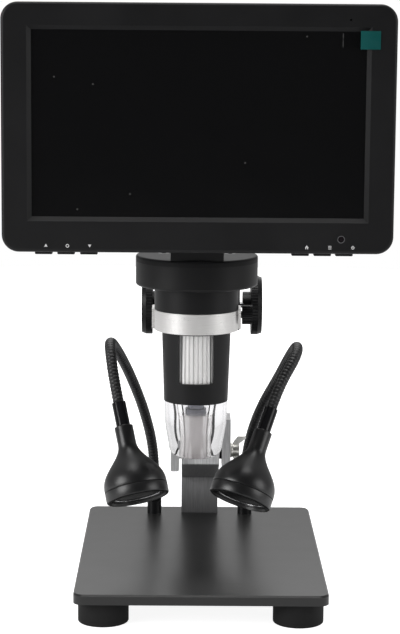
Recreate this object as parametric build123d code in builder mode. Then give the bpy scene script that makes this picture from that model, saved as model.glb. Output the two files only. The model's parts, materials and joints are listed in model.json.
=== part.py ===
"""Desk microscope with a tilting LCD monitor, a rack column and two gooseneck lamps.

Millimetres, +Z up, the floor at Z = 0. X runs to the right and Y to the rear. X = 0 is the
microscope's optical axis and Y = 0 the middle of the base plate. Every piece is its own solid.
"""

from build123d import *
from math import atan2, cos, degrees, pi, radians, sin, sqrt, tan
import os

os.makedirs("parts", exist_ok=True)

# ---------------------------------------------------------------- driving dimensions
running_fit = 0.05       # radial, shafts that turn or slide in a bore
slide_gap = 0.1          # flat faces that slide past each other
loose_gap = 0.3          # pieces that must never rub

# base plate and feet
stand_x = 3.0            # the stand's middle line beside the optical axis
base_width, base_depth, base_thickness = 122.5, 175.0, 5.0
base_corner, base_edge = 5.0, 0.8
foot_radius, foot_height = 12.3, 12.0
foot_inset_x, foot_inset_y = 14.05, 15.1    # a foot's centre from the plate's edges
foot_recess, foot_recess_radius, foot_edge = 6.0, 4.6, 0.8
foot_hole_roof = 1.0     # plate left over the blind holes of the foot screws

# screws
m4_radius, m4_head_radius, m4_head_height = 2.0, 3.8, 2.4
m3_radius, m3_head_radius, m3_head_height = 1.5, 2.7, 1.8
m2_radius, m2_head_radius, m2_head_height = 1.1, 2.0, 1.1
m4_tip_gap = 0.5
drill_depth = 1.0        # how far a blind hole runs on past its screw

# foot bar: a bent flat bar that carries the column
bar_width, bar_thickness = 20.0, 10.0
bar_setback, bar_heel_z = 14.0, 37.5        # the heel's face from the plate's rear edge
bar_nose_y, bar_nose_z = 27.5, 55.0
pivot_z = 61.6
bar_screw_pitch, bar_screw_reach = 12.0, 11.0
bar_top_round, bar_heel_round = 7.0, 1.5

# fork and column
washer_radius, washer_thickness = 4.7, 1.3
fork_thickness, fork_front, fork_rear = 4.5, 10.0, 9.0
fork_bottom, fork_web, fork_top = 52.0, 72.4, 80.0     # the web joins the two cheeks over the bar
fork_screw_x, fork_screw_reach, fork_corner = 7.0, 8.0, 1.0
wing_hub_radius, wing_hub_length = 2.9, 4.8
wing_reach, wing_overhang, wing_thickness = 7.4, 3.6, 1.6
column_width, column_depth, column_top = 25.0, 12.0, 166.0
column_edge = 1.0

# rack and pinion
gear_module, pinion_teeth = 1.0, 10
gear_width, tooth_height = 6.0, 1.5
rack_root_share, rack_tip_share = 0.3, 0.13  # a tooth's half width as a share of the pitch
rack_back, rack_bottom, rack_top = 2.0, 88.0, 164.5
pinion_z = 141.4

# carriage and knobs
carriage_width, carriage_front = 39.0, 8.0
carriage_bottom, carriage_top = 130.0, 156.0
carriage_corner = 1.5
back_plate_thickness, back_plate_corner, back_plate_edge = 3.0, 2.0, 0.6
back_screw_x, arm_screw_x, carriage_screw_z = 15.5, 11.0, 10.0
back_screw_reach, arm_screw_reach = 7.0, 4.5
shaft_radius, shaft_end_radius, bush_radius = 2.5, 1.5, 6.4
knob_radius, knob_rim, knob_flange = 15.3, 3.3, 2.2
knob_boss_radius, knob_boss, knob_gap = 7.0, 4.3, 1.7
knob_grooves, knob_groove_radius, knob_taper = 60, 0.4, 20

# ring arm
head_y = -32.5
ring_bottom, ring_top = 137.0, 147.0
ring_wall_front, ring_wall_rear = 1.95, 3.2
ring_side_depth, ring_side_corner = 14.0, 1.5     # the flat sides behind the ring's middle
arm_width, flange_width, flange_height, flange_thickness = 16.0, 30.0, 26.0, 3.0
flange_corner = 2.0
clamp_setback = 6.5          # the clamp screw's axis behind the ring's middle
clamp_z, clamp_radius, clamp_length, clamp_stem_radius = 143.3, 4.8, 5.1, 1.8
clamp_grooves, clamp_groove_radius, clamp_stand = 24, 0.35, 0.7

# microscope head
disc_radius, disc_bottom, disc_top, disc_wall = 30.0, 159.2, 174.1, 2.2
lid_thickness, disc_edge = 3.0, 1.2
lid_screw_circle, lid_boss_radius, lid_screw_reach = 17.0, 3.2, 7.0
cable_hole_radius = 10.4     # the wires' way from the barrel into the head
barrel_step, barrel_wall = 1.8, 2.4          # the barrel stands out from the tube by its step
tube_top_wall, tube_bottom_wall, tube_bottom = 2.1, 0.95, 101.5
window_width, window_bottom, window_top, window_corner = 17.0, 111.8, 136.0, 0.8
wheel_radius, wheel_bore, wheel_ribs = 14.6, 8.45, 42
wheel_groove = 0.6
wheel_bottom, wheel_top = 111.0, 136.6
lens_radius, lens_bottom, lens_top = 4.1, 94.4, 130.0
lens_flange_bottom, lens_bore = 118.0, 3.3
glass_thickness, glass_lift = 2.5, 1.0
led_circle, led_radius, led_count, led_height = 9.4, 1.25, 8, 1.4
led_board_thickness = 1.0
sensor_size, sensor_height, sensor_board_thickness = 9.0, 1.5, 1.6
snoot_bottom, snoot_foot_radius, snoot_step, snoot_lip = 73.2, 9.0, 0.25, 0.8
snoot_inner_top, snoot_waist, snoot_inner_bottom = 6.5, 5.2, 5.5
snoot_round_in, snoot_round_up = 2.2, 5.8    # where the wall starts to round in to the foot
snoot_belly_in, snoot_belly_up = 0.4, 16.8
snoot_spigot, snoot_spigot_wall = 2.0, 0.7   # the part that snaps into the tube's nose
snoot_shoulder = 4.0

# neck and monitor
neck_width, neck_front, neck_depth = 25.4, -60.2, 10.4
hinge_y, hinge_z, hinge_radius, hinge_boss_radius = -55.0, 198.0, 2.0, 5.0
lug_thickness, pin_stand, pin_edge = 4.5, 0.6, 0.4
neck_screw_x = 7.0
monitor_bottom, bezel_side, bezel_top = 181.0, 13.9, 12.5
monitor_front, bezel_depth, shell_depth = -86.5, 7.0, 13.0
monitor_corner, shell_wall = 8.0, 2.2
bezel_round, shell_round = 1.6, 3.0
screen_width, screen_height, screen_above_bottom = 154.2, 86.0, 16.5
screen_lip, glass_recess, glass_margin = 2.0, 0.2, 3.0
glass_thick, panel_thick = 0.8, 3.6
panel_border_x, panel_border_up = 5.5, 6.5
wall_slack = 0.15        # between moulded pieces that drop into each other
button_width, button_depth, button_stand, button_travel = 8.2, 4.4, 2.1, 0.8
left_buttons = {"up": 18.8, "ok": 29.3, "down": 40.0}        # from the monitor's left side
right_buttons = {"home": 42.7, "menu": 32.3, "power": 22.1}  # from its right side

# lamps
lamp_post_x, lamp_post_setback = 25.0, 14.0
socket_radius, socket_height, ferrule_top = 3.9, 7.0, 32.0
gooseneck_radius = 2.8
lamp_collar, lamp_collar_radius = 12.3, 3.5
lamp_neck, lamp_neck_radius = 12.0, 4.65
lamp_shade, lamp_rim_height, lamp_radius = 20.2, 5.5, 15.75
lamp_wall, lamp_rim_wall = 1.2, 1.6
lamp_lens_thick, lamp_board_inset = 1.2, 0.55
nut_height, socket_tail, spigot_radius, wire_bore = 3.0, 1.0, 2.25, 1.3
# each gooseneck's points, X and Y from its post and Z from the floor
lamp_paths = {
    "left": [(0, 0, 32.0), (0, 0, 42.0), (-1.4, -5.3, 59.0), (-5.2, -14.9, 76.5),
             (-9.6, -25.0, 91.3), (-15.2, -39.5, 107.5), (-20.2, -55.5, 120.0),
             (-22.2, -70.5, 124.8), (-21.3, -84.0, 121.0), (-16.7, -96.0, 97.7)],
    "right": [(0, 0, 32.0), (0, 0, 42.0), (1.6, -5.0, 57.0), (4.9, -14.0, 72.0),
              (9.5, -22.5, 85.0), (16.2, -35.0, 100.0), (22.0, -51.5, 116.0),
              (24.6, -66.5, 123.0), (23.2, -81.5, 119.5), (10.0, -96.0, 95.2)],
}
lamp_rims = {"left": (-6.2, -116.0, 53.0), "right": (-6.3, -116.0, 52.0)}
lamp_last_run = 12.0

# ---------------------------------------------------------------- worked out from them
plate_top = foot_height + base_thickness
socket_stem = socket_radius * 0.75
bar_heel_y = base_depth / 2 - bar_setback
lamp_post_y = base_depth / 2 - lamp_post_setback
pivot_y = bar_nose_y + bar_thickness / 2
fork_inner = bar_width / 2 + washer_thickness
fork_outer = fork_inner + fork_thickness
column_front = pivot_y - column_depth / 2
column_bottom = fork_top
pitch_radius = gear_module * pinion_teeth / 2
tooth_pitch = pi * gear_module
rack_face = column_front + slide_gap
pitch_line = rack_face - tooth_height / 2
pinion_y = pitch_line - pitch_radius
carriage_rear = column_front + column_depth + slide_gap
carriage_middle = (carriage_bottom + carriage_top) / 2
tube_inner = wheel_radius + loose_gap
tube_top_radius = tube_inner + tube_top_wall
tube_bottom_radius = tube_inner + tube_bottom_wall
barrel_radius = tube_top_radius + barrel_step
snoot_top_radius = tube_bottom_radius - snoot_step
ring_bore = barrel_radius + running_fit
ring_radius_front = barrel_radius + ring_wall_front
ring_radius_rear = barrel_radius + ring_wall_rear
shade_start = lamp_collar + lamp_neck
rim_start = shade_start + lamp_shade
monitor_width = screen_width + 2 * bezel_side
monitor_height = screen_above_bottom + screen_height + bezel_top
monitor_middle = monitor_bottom + monitor_height / 2
bezel_back = monitor_front + bezel_depth
shell_back = bezel_back + shell_depth
screen_middle = monitor_bottom + screen_above_bottom + screen_height / 2
button_xs = {name: x - monitor_width / 2 for name, x in left_buttons.items()}
button_xs |= {name: monitor_width / 2 - x for name, x in right_buttons.items()}
foot_places = [(stand_x + i * (base_width / 2 - foot_inset_x), j * (base_depth / 2 - foot_inset_y))
               for i in (-1, 1) for j in (-1, 1)]
bar_middle_y = bar_heel_y + bar_thickness / 2
bar_screw_places = [(stand_x + i * bar_screw_pitch / 2, bar_middle_y) for i in (-1, 1)]
socket_places = [(stand_x + i * lamp_post_x, lamp_post_y) for i in (-1, 1)]


def save(piece, node):
    piece.part.label = node
    export_step(piece.part, f"parts/{node}.step")


def save_group(pieces, node):
    """Several separate solids in one node: like fasteners, or pieces that are never parted."""
    group = Compound(label=node, children=[solid for piece in pieces for solid in piece.solids()])
    export_step(group, f"parts/{node}.step")


def down(x, y, z):
    return Plane((x, y, z), x_dir=(1, 0, 0), z_dir=(0, 0, -1))


def facing(x, y, z, direction):
    return Plane((x, y, z), z_dir=direction)


def make_screws(planes, radius, length, head_radius, head_height, sunk=False):
    """Screws whose planes lie on the seat, with +Z out of the head."""
    socket_depth = head_height * 0.6
    top = 0 if sunk else head_height
    with BuildPart() as screws:
        with Locations(*planes):
            Cylinder(radius, length, align=(Align.CENTER, Align.CENTER, Align.MAX))
            if sunk:
                Cone(radius, head_radius, head_radius - radius,
                     align=(Align.CENTER, Align.CENTER, Align.MAX))
            else:
                Cylinder(head_radius, head_height, align=(Align.CENTER, Align.CENTER, Align.MIN))
        with BuildSketch(*[plane.offset(top) for plane in planes]):
            RegularPolygon(head_radius * 0.5, 6)
        extrude(amount=-socket_depth, mode=Mode.SUBTRACT)
    return screws


# ---------------------------------------------------------------- base
with BuildPart() as base_plate:
    with BuildSketch(Plane.XY.offset(foot_height)):
        with Locations((stand_x, 0)):
            RectangleRounded(base_width, base_depth, base_corner)
    extrude(amount=base_thickness)
    chamfer(base_plate.edges().group_by(Axis.Z)[-1], base_edge)
    with BuildSketch(Plane.XY.offset(foot_height)):
        with Locations(*foot_places):
            Circle(m4_radius)
    extrude(amount=base_thickness - foot_hole_roof, mode=Mode.SUBTRACT)
    with BuildSketch(Plane.XY.offset(foot_height)):
        with Locations(*socket_places):
            Circle(socket_stem)
    extrude(amount=base_thickness, mode=Mode.SUBTRACT)
    with Locations(*[down(x, y, foot_height) for x, y in bar_screw_places]):
        CounterSinkHole(m4_radius, m4_head_radius, base_thickness)
save(base_plate, "base_plate")

with BuildPart() as rubber_feet:
    with Locations(*foot_places):
        Cylinder(foot_radius, foot_height, align=(Align.CENTER, Align.CENTER, Align.MIN))
    fillet(rubber_feet.edges().group_by(Axis.Z)[0], foot_edge)
    with Locations(*[down(x, y, 0) for x, y in foot_places]):
        CounterBoreHole(m4_radius, foot_recess_radius, foot_recess, foot_height)
save(rubber_feet, "rubber_feet")

foot_screw_length = foot_height - foot_recess + base_thickness - foot_hole_roof - m4_tip_gap
foot_screws = make_screws([down(x, y, foot_recess) for x, y in foot_places], m4_radius,
                          foot_screw_length, m4_head_radius, m4_head_height)

# ---------------------------------------------------------------- foot bar
bar_slope = atan2(bar_nose_z - bar_heel_z, bar_heel_y - bar_nose_y)
bar_lift = bar_thickness / cos(bar_slope)


def bar_top(y):
    return bar_heel_z + (bar_heel_y - y) * tan(bar_slope) + bar_lift


bar_rear_y = bar_heel_y + bar_thickness
with BuildPart() as foot_bar:
    with BuildSketch(Plane.YZ.offset(stand_x)):
        with BuildLine():
            Polyline((bar_heel_y, plate_top), (bar_heel_y, bar_heel_z),
                     (bar_nose_y, bar_nose_z), (bar_nose_y, pivot_z),
                     (bar_nose_y + bar_thickness, bar_top(bar_nose_y + bar_thickness)),
                     (bar_rear_y, bar_top(bar_rear_y)), (bar_rear_y, plate_top), close=True)
        make_face()
        with Locations((pivot_y, pivot_z)):
            Circle(bar_thickness / 2)
    extrude(amount=bar_width / 2, both=True)
    fillet(foot_bar.edges().filter_by(Axis.X).filter_by_position(Axis.Y, bar_rear_y - 0.1,
           bar_rear_y + 0.1).sort_by(Axis.Z)[-1], bar_top_round)
    fillet(foot_bar.edges().filter_by(Axis.X).filter_by_position(Axis.Y, bar_heel_y - 0.1,
           bar_heel_y + 0.1).sort_by(Axis.Z)[-1], bar_heel_round)
    with BuildSketch(Plane.YZ.offset(stand_x)):
        with Locations((pivot_y, pivot_z)):
            Circle(m4_radius + running_fit)
    extrude(amount=bar_width / 2, both=True, mode=Mode.SUBTRACT)
    with Locations(*[down(x, y, plate_top) for x, y in bar_screw_places]):
        Hole(m4_radius, bar_screw_reach + drill_depth)
save(foot_bar, "foot_bar")

bar_screws = make_screws([down(x, y, foot_height) for x, y in bar_screw_places],
                         m4_radius, base_thickness + bar_screw_reach, m4_head_radius, m4_head_height, True)
save_group([foot_screws, bar_screws], "plate_screws")

# ---------------------------------------------------------------- lamp sockets
with BuildPart() as lamp_sockets:
    with BuildSketch(Plane.XY.offset(plate_top)):
        with Locations(*socket_places):
            Circle(socket_radius)
    extrude(amount=socket_height)
    with BuildSketch(Plane.XY.offset(foot_height - nut_height - socket_tail)):
        with Locations(*socket_places):
            Circle(socket_stem)
    extrude(until=Until.NEXT)
    with BuildSketch(Plane.XY.offset(plate_top)):
        with Locations(*socket_places):
            Circle(spigot_radius + running_fit)
    extrude(amount=socket_height, mode=Mode.SUBTRACT)
    with BuildSketch(Plane.XY.offset(foot_height - nut_height - socket_tail)):
        with Locations(*socket_places):
            Circle(wire_bore)
    extrude(amount=plate_top - foot_height + nut_height + 2 * socket_tail, mode=Mode.SUBTRACT)

with BuildPart() as socket_nuts:
    with BuildSketch(Plane.XY.offset(foot_height)):
        with Locations(*socket_places):
            RegularPolygon(socket_radius * 1.2, 6, major_radius=False)
            Circle(socket_stem, mode=Mode.SUBTRACT)
    extrude(amount=-nut_height)
save_group([lamp_sockets, socket_nuts], "lamp_sockets")

# ---------------------------------------------------------------- tilt pivot and fork
washer_xs = [stand_x - fork_inner, stand_x + bar_width / 2]
with BuildPart() as friction_washers:
    with BuildSketch(*[Plane.YZ.offset(x) for x in washer_xs]):
        with Locations((pivot_y, pivot_z)):
            Circle(washer_radius)
            Circle(m4_radius + running_fit, mode=Mode.SUBTRACT)
    extrude(amount=washer_thickness)
save(friction_washers, "friction_washers")

fork_y_front, fork_y_rear = pivot_y - fork_front, pivot_y + fork_rear
fork_screw_planes = [down(stand_x + i * fork_screw_x, pivot_y, fork_web) for i in (-1, 1)]
pivot_head_plane = Plane(origin=(stand_x - fork_outer, pivot_y, pivot_z), z_dir=(-1, 0, 0))
with BuildPart() as fork:
    with BuildSketch(Plane.XZ.offset(-fork_y_rear)):
        with Locations((stand_x, fork_bottom)):
            Rectangle(2 * fork_outer, fork_top - fork_bottom, align=(Align.CENTER, Align.MIN))
            Rectangle(2 * fork_inner, fork_web - fork_bottom, align=(Align.CENTER, Align.MIN),
                      mode=Mode.SUBTRACT)
    extrude(amount=fork_y_rear - fork_y_front)
    fillet(fork.edges().filter_by(Axis.Y).group_by(Axis.Z)[0], fork_corner)
    with BuildSketch(Plane.YZ.offset(stand_x)):
        with Locations((pivot_y, pivot_z)):
            Circle(m4_radius + running_fit)
    extrude(amount=fork_outer, both=True, mode=Mode.SUBTRACT)
    with Locations(*fork_screw_planes):
        CounterSinkHole(m3_radius, m3_head_radius, fork_top - fork_web)
    with Locations(pivot_head_plane):
        CounterSinkHole(m4_radius + running_fit, m4_head_radius + running_fit, fork_thickness)
save(fork, "fork")

fork_screws = make_screws(fork_screw_planes, m3_radius, fork_top - fork_web + fork_screw_reach,
                          m3_head_radius, m3_head_height, True)
save(fork_screws, "fork_screws")

wing_start = stand_x + fork_outer
pivot_screw = make_screws([pivot_head_plane], m4_radius, 2 * fork_outer + wing_hub_length,
                          m4_head_radius, m4_head_height, True)
save(pivot_screw, "pivot_screw")

with BuildPart() as wing_nut:
    with BuildSketch(Plane.YZ.offset(wing_start)):
        with Locations((pivot_y, pivot_z)):
            Circle(wing_hub_radius)
            Circle(m4_radius, mode=Mode.SUBTRACT)
    extrude(amount=wing_hub_length)
    with BuildSketch(Plane((stand_x, pivot_y, pivot_z), x_dir=(1, 0, 0), z_dir=(0, -1, 0))):
        for side in (-1, 1):
            with BuildLine():
                hub_end = wing_start - stand_x + wing_hub_length
                wing_root, wing_outer = hub_end - 0.55 * wing_hub_length, hub_end + wing_overhang
                Polyline((wing_root, side * 0.8 * wing_hub_radius),
                         (hub_end - 0.2, side * 0.8 * wing_hub_radius),
                         (wing_outer, side * 0.6 * wing_reach), (wing_outer, side * wing_reach),
                         (wing_outer - 3, side * wing_reach),
                         (wing_root, side * 1.5 * wing_hub_radius), close=True)
            make_face()
    extrude(amount=wing_thickness / 2, both=True)
save(wing_nut, "wing_nut")

# ---------------------------------------------------------------- column and rack
with BuildPart() as column:
    with BuildSketch(Plane.XY.offset(column_bottom)):
        with Locations((stand_x, pivot_y)):
            Rectangle(column_width, column_depth)
    extrude(amount=column_top - column_bottom)
    chamfer(column.edges().filter_by(Axis.Z), column_edge)
    with BuildSketch(Plane.XY.offset(rack_bottom)):
        with Locations((stand_x, column_front + (rack_back + slide_gap) / 2)):
            Rectangle(gear_width, rack_back + slide_gap)
    extrude(amount=column_top - rack_bottom, mode=Mode.SUBTRACT)
    with Locations(*[plane.offset(fork_web - fork_top) for plane in fork_screw_planes]):
        Hole(m3_radius, fork_screw_reach + drill_depth)
save(column, "column")


def tooth_points(middle_z, base_y, height, base_half, tip_half):
    return [(base_y, middle_z - base_half), (base_y - height, middle_z - tip_half),
            (base_y - height, middle_z + tip_half), (base_y, middle_z + base_half)]


rack_phase = pinion_z + tooth_pitch / 2
first_tooth = int((rack_bottom + tooth_pitch - rack_phase) / tooth_pitch)
last_tooth = int((rack_top - tooth_pitch - rack_phase) / tooth_pitch)
with BuildPart() as rack:
    with BuildSketch(Plane.YZ.offset(stand_x)):
        with Locations((rack_face + rack_back / 2, (rack_bottom + rack_top) / 2)):
            Rectangle(rack_back, rack_top - rack_bottom)
        for i in range(first_tooth, last_tooth + 1):
            with BuildLine():
                Polyline(*tooth_points(rack_phase + i * tooth_pitch, rack_face, tooth_height,
                                       tooth_pitch * rack_root_share, tooth_pitch * rack_tip_share),
                         close=True)
            make_face()
    extrude(amount=gear_width / 2, both=True)
save(rack, "rack")

# ---------------------------------------------------------------- carriage
rack_slot_half = gear_width / 2 + loose_gap
rack_slot_front = rack_face - tooth_height - loose_gap
back_screw_planes = [facing(stand_x + i * back_screw_x, carriage_rear + back_plate_thickness,
                            carriage_middle + j * carriage_screw_z, (0, 1, 0))
                     for i in (-1, 1) for j in (-1, 1)]
arm_screw_planes = [facing(stand_x + i * arm_screw_x, carriage_front - flange_thickness,
                           carriage_middle + j * carriage_screw_z, (0, -1, 0))
                    for i in (-1, 1) for j in (-1, 1)]
with BuildPart() as carriage_body:
    with BuildSketch(Plane.XY.offset(carriage_bottom)):
        with Locations((stand_x, (carriage_front + carriage_rear) / 2)):
            RectangleRounded(carriage_width, carriage_rear - carriage_front, carriage_corner)
        with Locations((stand_x, (column_front - slide_gap + carriage_rear + 1) / 2)):
            Rectangle(column_width + 2 * slide_gap, carriage_rear + 1 - column_front + slide_gap,
                      mode=Mode.SUBTRACT)
        with Locations((stand_x, (rack_slot_front + column_front) / 2)):
            Rectangle(2 * rack_slot_half, column_front - rack_slot_front, mode=Mode.SUBTRACT)
    extrude(amount=carriage_top - carriage_bottom)
    with BuildSketch(Plane.YZ.offset(stand_x)):
        with Locations((pinion_y, pinion_z)):
            Circle(bush_radius)
    extrude(amount=carriage_width / 2, both=True, mode=Mode.SUBTRACT)
    with Locations(*[plane.offset(-back_plate_thickness) for plane in back_screw_planes]):
        Hole(m3_radius, back_screw_reach + drill_depth)
    with Locations(*[plane.offset(-flange_thickness) for plane in arm_screw_planes]):
        Hole(m3_radius, arm_screw_reach + drill_depth)
save(carriage_body, "carriage_body")

with BuildPart() as back_plate:
    with BuildSketch(Plane.XZ.offset(-carriage_rear)):
        with Locations((stand_x, carriage_middle)):
            RectangleRounded(carriage_width, carriage_top - carriage_bottom, back_plate_corner)
    extrude(amount=-back_plate_thickness)
    chamfer(back_plate.edges().group_by(Axis.Y)[-1], back_plate_edge)
    with Locations(*back_screw_planes):
        Hole(m3_radius, back_plate_thickness)
save(back_plate, "back_plate")

back_screws = make_screws(back_screw_planes, m3_radius, back_plate_thickness + back_screw_reach,
                          m3_head_radius, m3_head_height)

bush_inner = gear_width / 2 + loose_gap
with BuildPart() as pinion_bushes:
    with BuildSketch(*[Plane.YZ.offset(x) for x in
                       (stand_x - carriage_width / 2, stand_x + bush_inner)]):
        with Locations((pinion_y, pinion_z)):
            Circle(bush_radius)
            Circle(shaft_radius + running_fit, mode=Mode.SUBTRACT)
        with Locations((column_front - 2 * slide_gap + bush_radius, pinion_z)):
            Rectangle(2 * bush_radius, 2 * bush_radius, mode=Mode.SUBTRACT)
    extrude(amount=carriage_width / 2 - bush_inner)
save(pinion_bushes, "pinion_bushes")

# ---------------------------------------------------------------- pinion shaft and knobs
knob_inner = carriage_width / 2 + knob_gap
knob_outer = knob_inner + knob_boss + knob_rim + knob_flange
pinion_root = pitch_radius - tooth_height / 2 - 0.15
with BuildPart() as pinion_shaft:
    with BuildSketch(Plane.YZ.offset(stand_x)):
        with Locations((pinion_y, pinion_z)):
            Circle(pinion_root)
        for i in range(pinion_teeth):
            turn = i * 2 * pi / pinion_teeth
            with BuildLine():
                corners = [(pinion_root - 0.3, -0.75), (pitch_radius + 0.55, -0.38),
                           (pitch_radius + 0.55, 0.38), (pinion_root - 0.3, 0.75)]
                Polyline(*[(pinion_y + r * cos(turn) - t * sin(turn),
                            pinion_z + r * sin(turn) + t * cos(turn)) for r, t in corners],
                         close=True)
            make_face()
    extrude(amount=gear_width / 2, both=True)
    with BuildSketch(Plane.YZ.offset(stand_x)):
        with Locations((pinion_y, pinion_z)):
            Circle(shaft_radius)
    extrude(amount=carriage_width / 2 + knob_gap / 4, both=True)
    with BuildSketch(Plane.YZ.offset(stand_x)):
        with Locations((pinion_y, pinion_z)):
            Circle(shaft_end_radius)
    extrude(amount=knob_outer - knob_flange, both=True)
save(pinion_shaft, "pinion_shaft")


def make_knob(side):
    """A knob with a boss, a grooved rim and a smooth flange, on the side given by its sign."""
    def knob_plane(distance):
        return Plane((stand_x + side * distance, pinion_y, pinion_z), z_dir=(side, 0, 0))

    rim_start_x = knob_inner + knob_boss
    with BuildPart() as knob:
        with BuildSketch(knob_plane(knob_inner)):
            Circle(knob_boss_radius)
        extrude(amount=knob_boss)
        with BuildSketch(knob_plane(rim_start_x)):
            Circle(knob_radius)
            with PolarLocations(knob_radius + 0.15, knob_grooves):
                Circle(knob_groove_radius, mode=Mode.SUBTRACT)
        extrude(amount=knob_rim)
        with BuildSketch(knob_plane(rim_start_x + knob_rim)):
            Circle(knob_radius)
        extrude(amount=knob_flange, taper=knob_taper)
        with BuildSketch(knob_plane(knob_inner)):
            Circle(shaft_end_radius)
        extrude(amount=knob_boss + knob_rim, mode=Mode.SUBTRACT)
    return knob


save(make_knob(-1), "focus_knob_left")
save(make_knob(1), "focus_knob_right")

# ---------------------------------------------------------------- ring arm
clamp_y = head_y + clamp_setback
clamp_start = ring_radius_rear + clamp_stand
clamp_tip = sqrt(barrel_radius ** 2 - (clamp_setback - clamp_stem_radius) ** 2) + loose_gap
with BuildPart() as ring_arm:
    with BuildSketch(Plane.XY.offset(ring_bottom)):
        with Locations((0, head_y)):
            Circle(ring_radius_front)
        with Locations((0, head_y)):
            Circle(ring_radius_rear)
            with Locations((0, -ring_radius_rear)):
                Rectangle(3 * ring_radius_rear, 2 * ring_radius_rear, mode=Mode.SUBTRACT)
        with Locations((0, head_y + ring_side_depth / 2)):
            RectangleRounded(2 * ring_radius_rear, ring_side_depth, ring_side_corner)
        with Locations((0, head_y)):
            Circle(ring_radius_front)
        with Locations((stand_x, (head_y + ring_bore + carriage_front) / 2)):
            Rectangle(arm_width, carriage_front - head_y - ring_bore)
        with Locations((0, head_y)):
            Circle(ring_bore, mode=Mode.SUBTRACT)
    extrude(amount=ring_top - ring_bottom)
    with BuildSketch(Plane.XZ.offset(-carriage_front)):
        with Locations((stand_x, carriage_middle)):
            RectangleRounded(flange_width, flange_height, flange_corner)
    extrude(amount=flange_thickness)
    with BuildSketch(Plane.YZ):
        with Locations((clamp_y, clamp_z)):
            Circle(clamp_stem_radius + running_fit)
    extrude(amount=ring_radius_rear, mode=Mode.SUBTRACT)
    with Locations(*arm_screw_planes):
        Hole(m3_radius, flange_thickness)
save(ring_arm, "ring_arm")

arm_screws = make_screws(arm_screw_planes, m3_radius, flange_thickness + arm_screw_reach, m3_head_radius,
                         m3_head_height)
save_group([back_screws, arm_screws], "carriage_screws")

with BuildPart() as ring_clamp_knob:
    with BuildSketch(Plane.YZ.offset(clamp_start)):
        with Locations((clamp_y, clamp_z)):
            Circle(clamp_radius)
            with PolarLocations(clamp_radius + 0.1, clamp_grooves):
                Circle(clamp_groove_radius, mode=Mode.SUBTRACT)
    extrude(amount=clamp_length)
    with BuildSketch(Plane.YZ.offset(clamp_tip)):
        with Locations((clamp_y, clamp_z)):
            Circle(clamp_stem_radius)
    extrude(amount=clamp_start - clamp_tip)
save(ring_clamp_knob, "ring_clamp_knob")

# ---------------------------------------------------------------- microscope head
shoulder_z = ring_top + 0.2
barrel_inner = barrel_radius - barrel_wall
with BuildPart() as barrel:
    with BuildSketch(Plane.XY.offset(ring_bottom)):
        with Locations((0, head_y)):
            Circle(barrel_radius)
    extrude(amount=shoulder_z - ring_bottom)
    with BuildSketch(Plane.XY.offset(shoulder_z)):
        with Locations((0, head_y)):
            Circle(ring_radius_front)
    extrude(amount=disc_bottom - shoulder_z)
    with BuildSketch(Plane.XY.offset(ring_bottom)):
        with Locations((0, head_y)):
            Circle(barrel_inner)
    extrude(amount=disc_bottom - ring_bottom, mode=Mode.SUBTRACT)
save(barrel, "barrel")

disc_rim_top = disc_top - lid_thickness
lid_screw_places = [(lid_screw_circle * cos(radians(a)), head_y + lid_screw_circle * sin(radians(a)))
                    for a in (90, 165, 15)]
with BuildPart() as head_shell:
    with BuildSketch(Plane.XY.offset(disc_bottom)):
        with Locations((0, head_y)):
            Circle(disc_radius)
    extrude(amount=disc_rim_top - disc_bottom)
    fillet(head_shell.edges().group_by(Axis.Z)[0], disc_edge)
    with BuildSketch(Plane.XY.offset(disc_bottom + disc_wall)):
        with Locations((0, head_y)):
            Circle(disc_radius - disc_wall)
    extrude(amount=disc_rim_top - disc_bottom, mode=Mode.SUBTRACT)
    with BuildSketch(Plane.XY.offset(disc_bottom)):
        with Locations((0, head_y)):
            Circle(cable_hole_radius)
    extrude(amount=disc_wall, mode=Mode.SUBTRACT)
    with BuildSketch(Plane.XY.offset(disc_bottom)):
        with Locations(*lid_screw_places):
            Circle(lid_boss_radius)
    extrude(amount=disc_rim_top - disc_bottom)
    with Locations(*[Plane((x, y, disc_rim_top)) for x, y in lid_screw_places]):
        Hole(m3_radius, lid_screw_reach + drill_depth)
save(head_shell, "head_shell")

neck_screw_places = [(i * neck_screw_x, neck_front + neck_depth / 2) for i in (-1, 1)]
with BuildPart() as head_lid:
    with BuildSketch(Plane.XY.offset(disc_rim_top)):
        with Locations((0, head_y)):
            Circle(disc_radius)
    extrude(amount=lid_thickness)
    fillet(head_lid.edges().group_by(Axis.Z)[-1], disc_edge)
    with Locations(*[Plane((x, y, disc_top)) for x, y in lid_screw_places]):
        CounterSinkHole(m3_radius, m3_head_radius, lid_thickness)
    with Locations(*[down(x, y, disc_rim_top) for x, y in neck_screw_places]):
        CounterSinkHole(m2_radius, m2_head_radius, lid_thickness)
save(head_lid, "head_lid")

lid_screws = make_screws([Plane((x, y, disc_top)) for x, y in lid_screw_places], m3_radius,
                         lid_thickness + lid_screw_reach, m3_head_radius, m3_head_height, True)

neck_screws = make_screws([down(x, y, disc_rim_top) for x, y in neck_screw_places], m2_radius,
                          lid_thickness + lid_screw_reach, m2_head_radius, m2_head_height, True)
save_group([lid_screws, neck_screws], "head_screws")

with BuildPart() as neck_block:
    with BuildSketch(Plane.YZ):
        with Locations((neck_front + neck_depth / 2, (disc_top + hinge_z) / 2)):
            Rectangle(neck_depth, hinge_z - disc_top)
        with Locations((hinge_y, hinge_z)):
            Circle(hinge_boss_radius)
            Circle(hinge_radius + running_fit, mode=Mode.SUBTRACT)
    extrude(amount=neck_width / 2, both=True)
    with Locations(*[down(x, y, disc_top) for x, y in neck_screw_places]):
        Hole(m2_radius, lid_screw_reach + drill_depth)
save(neck_block, "neck_block")

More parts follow.
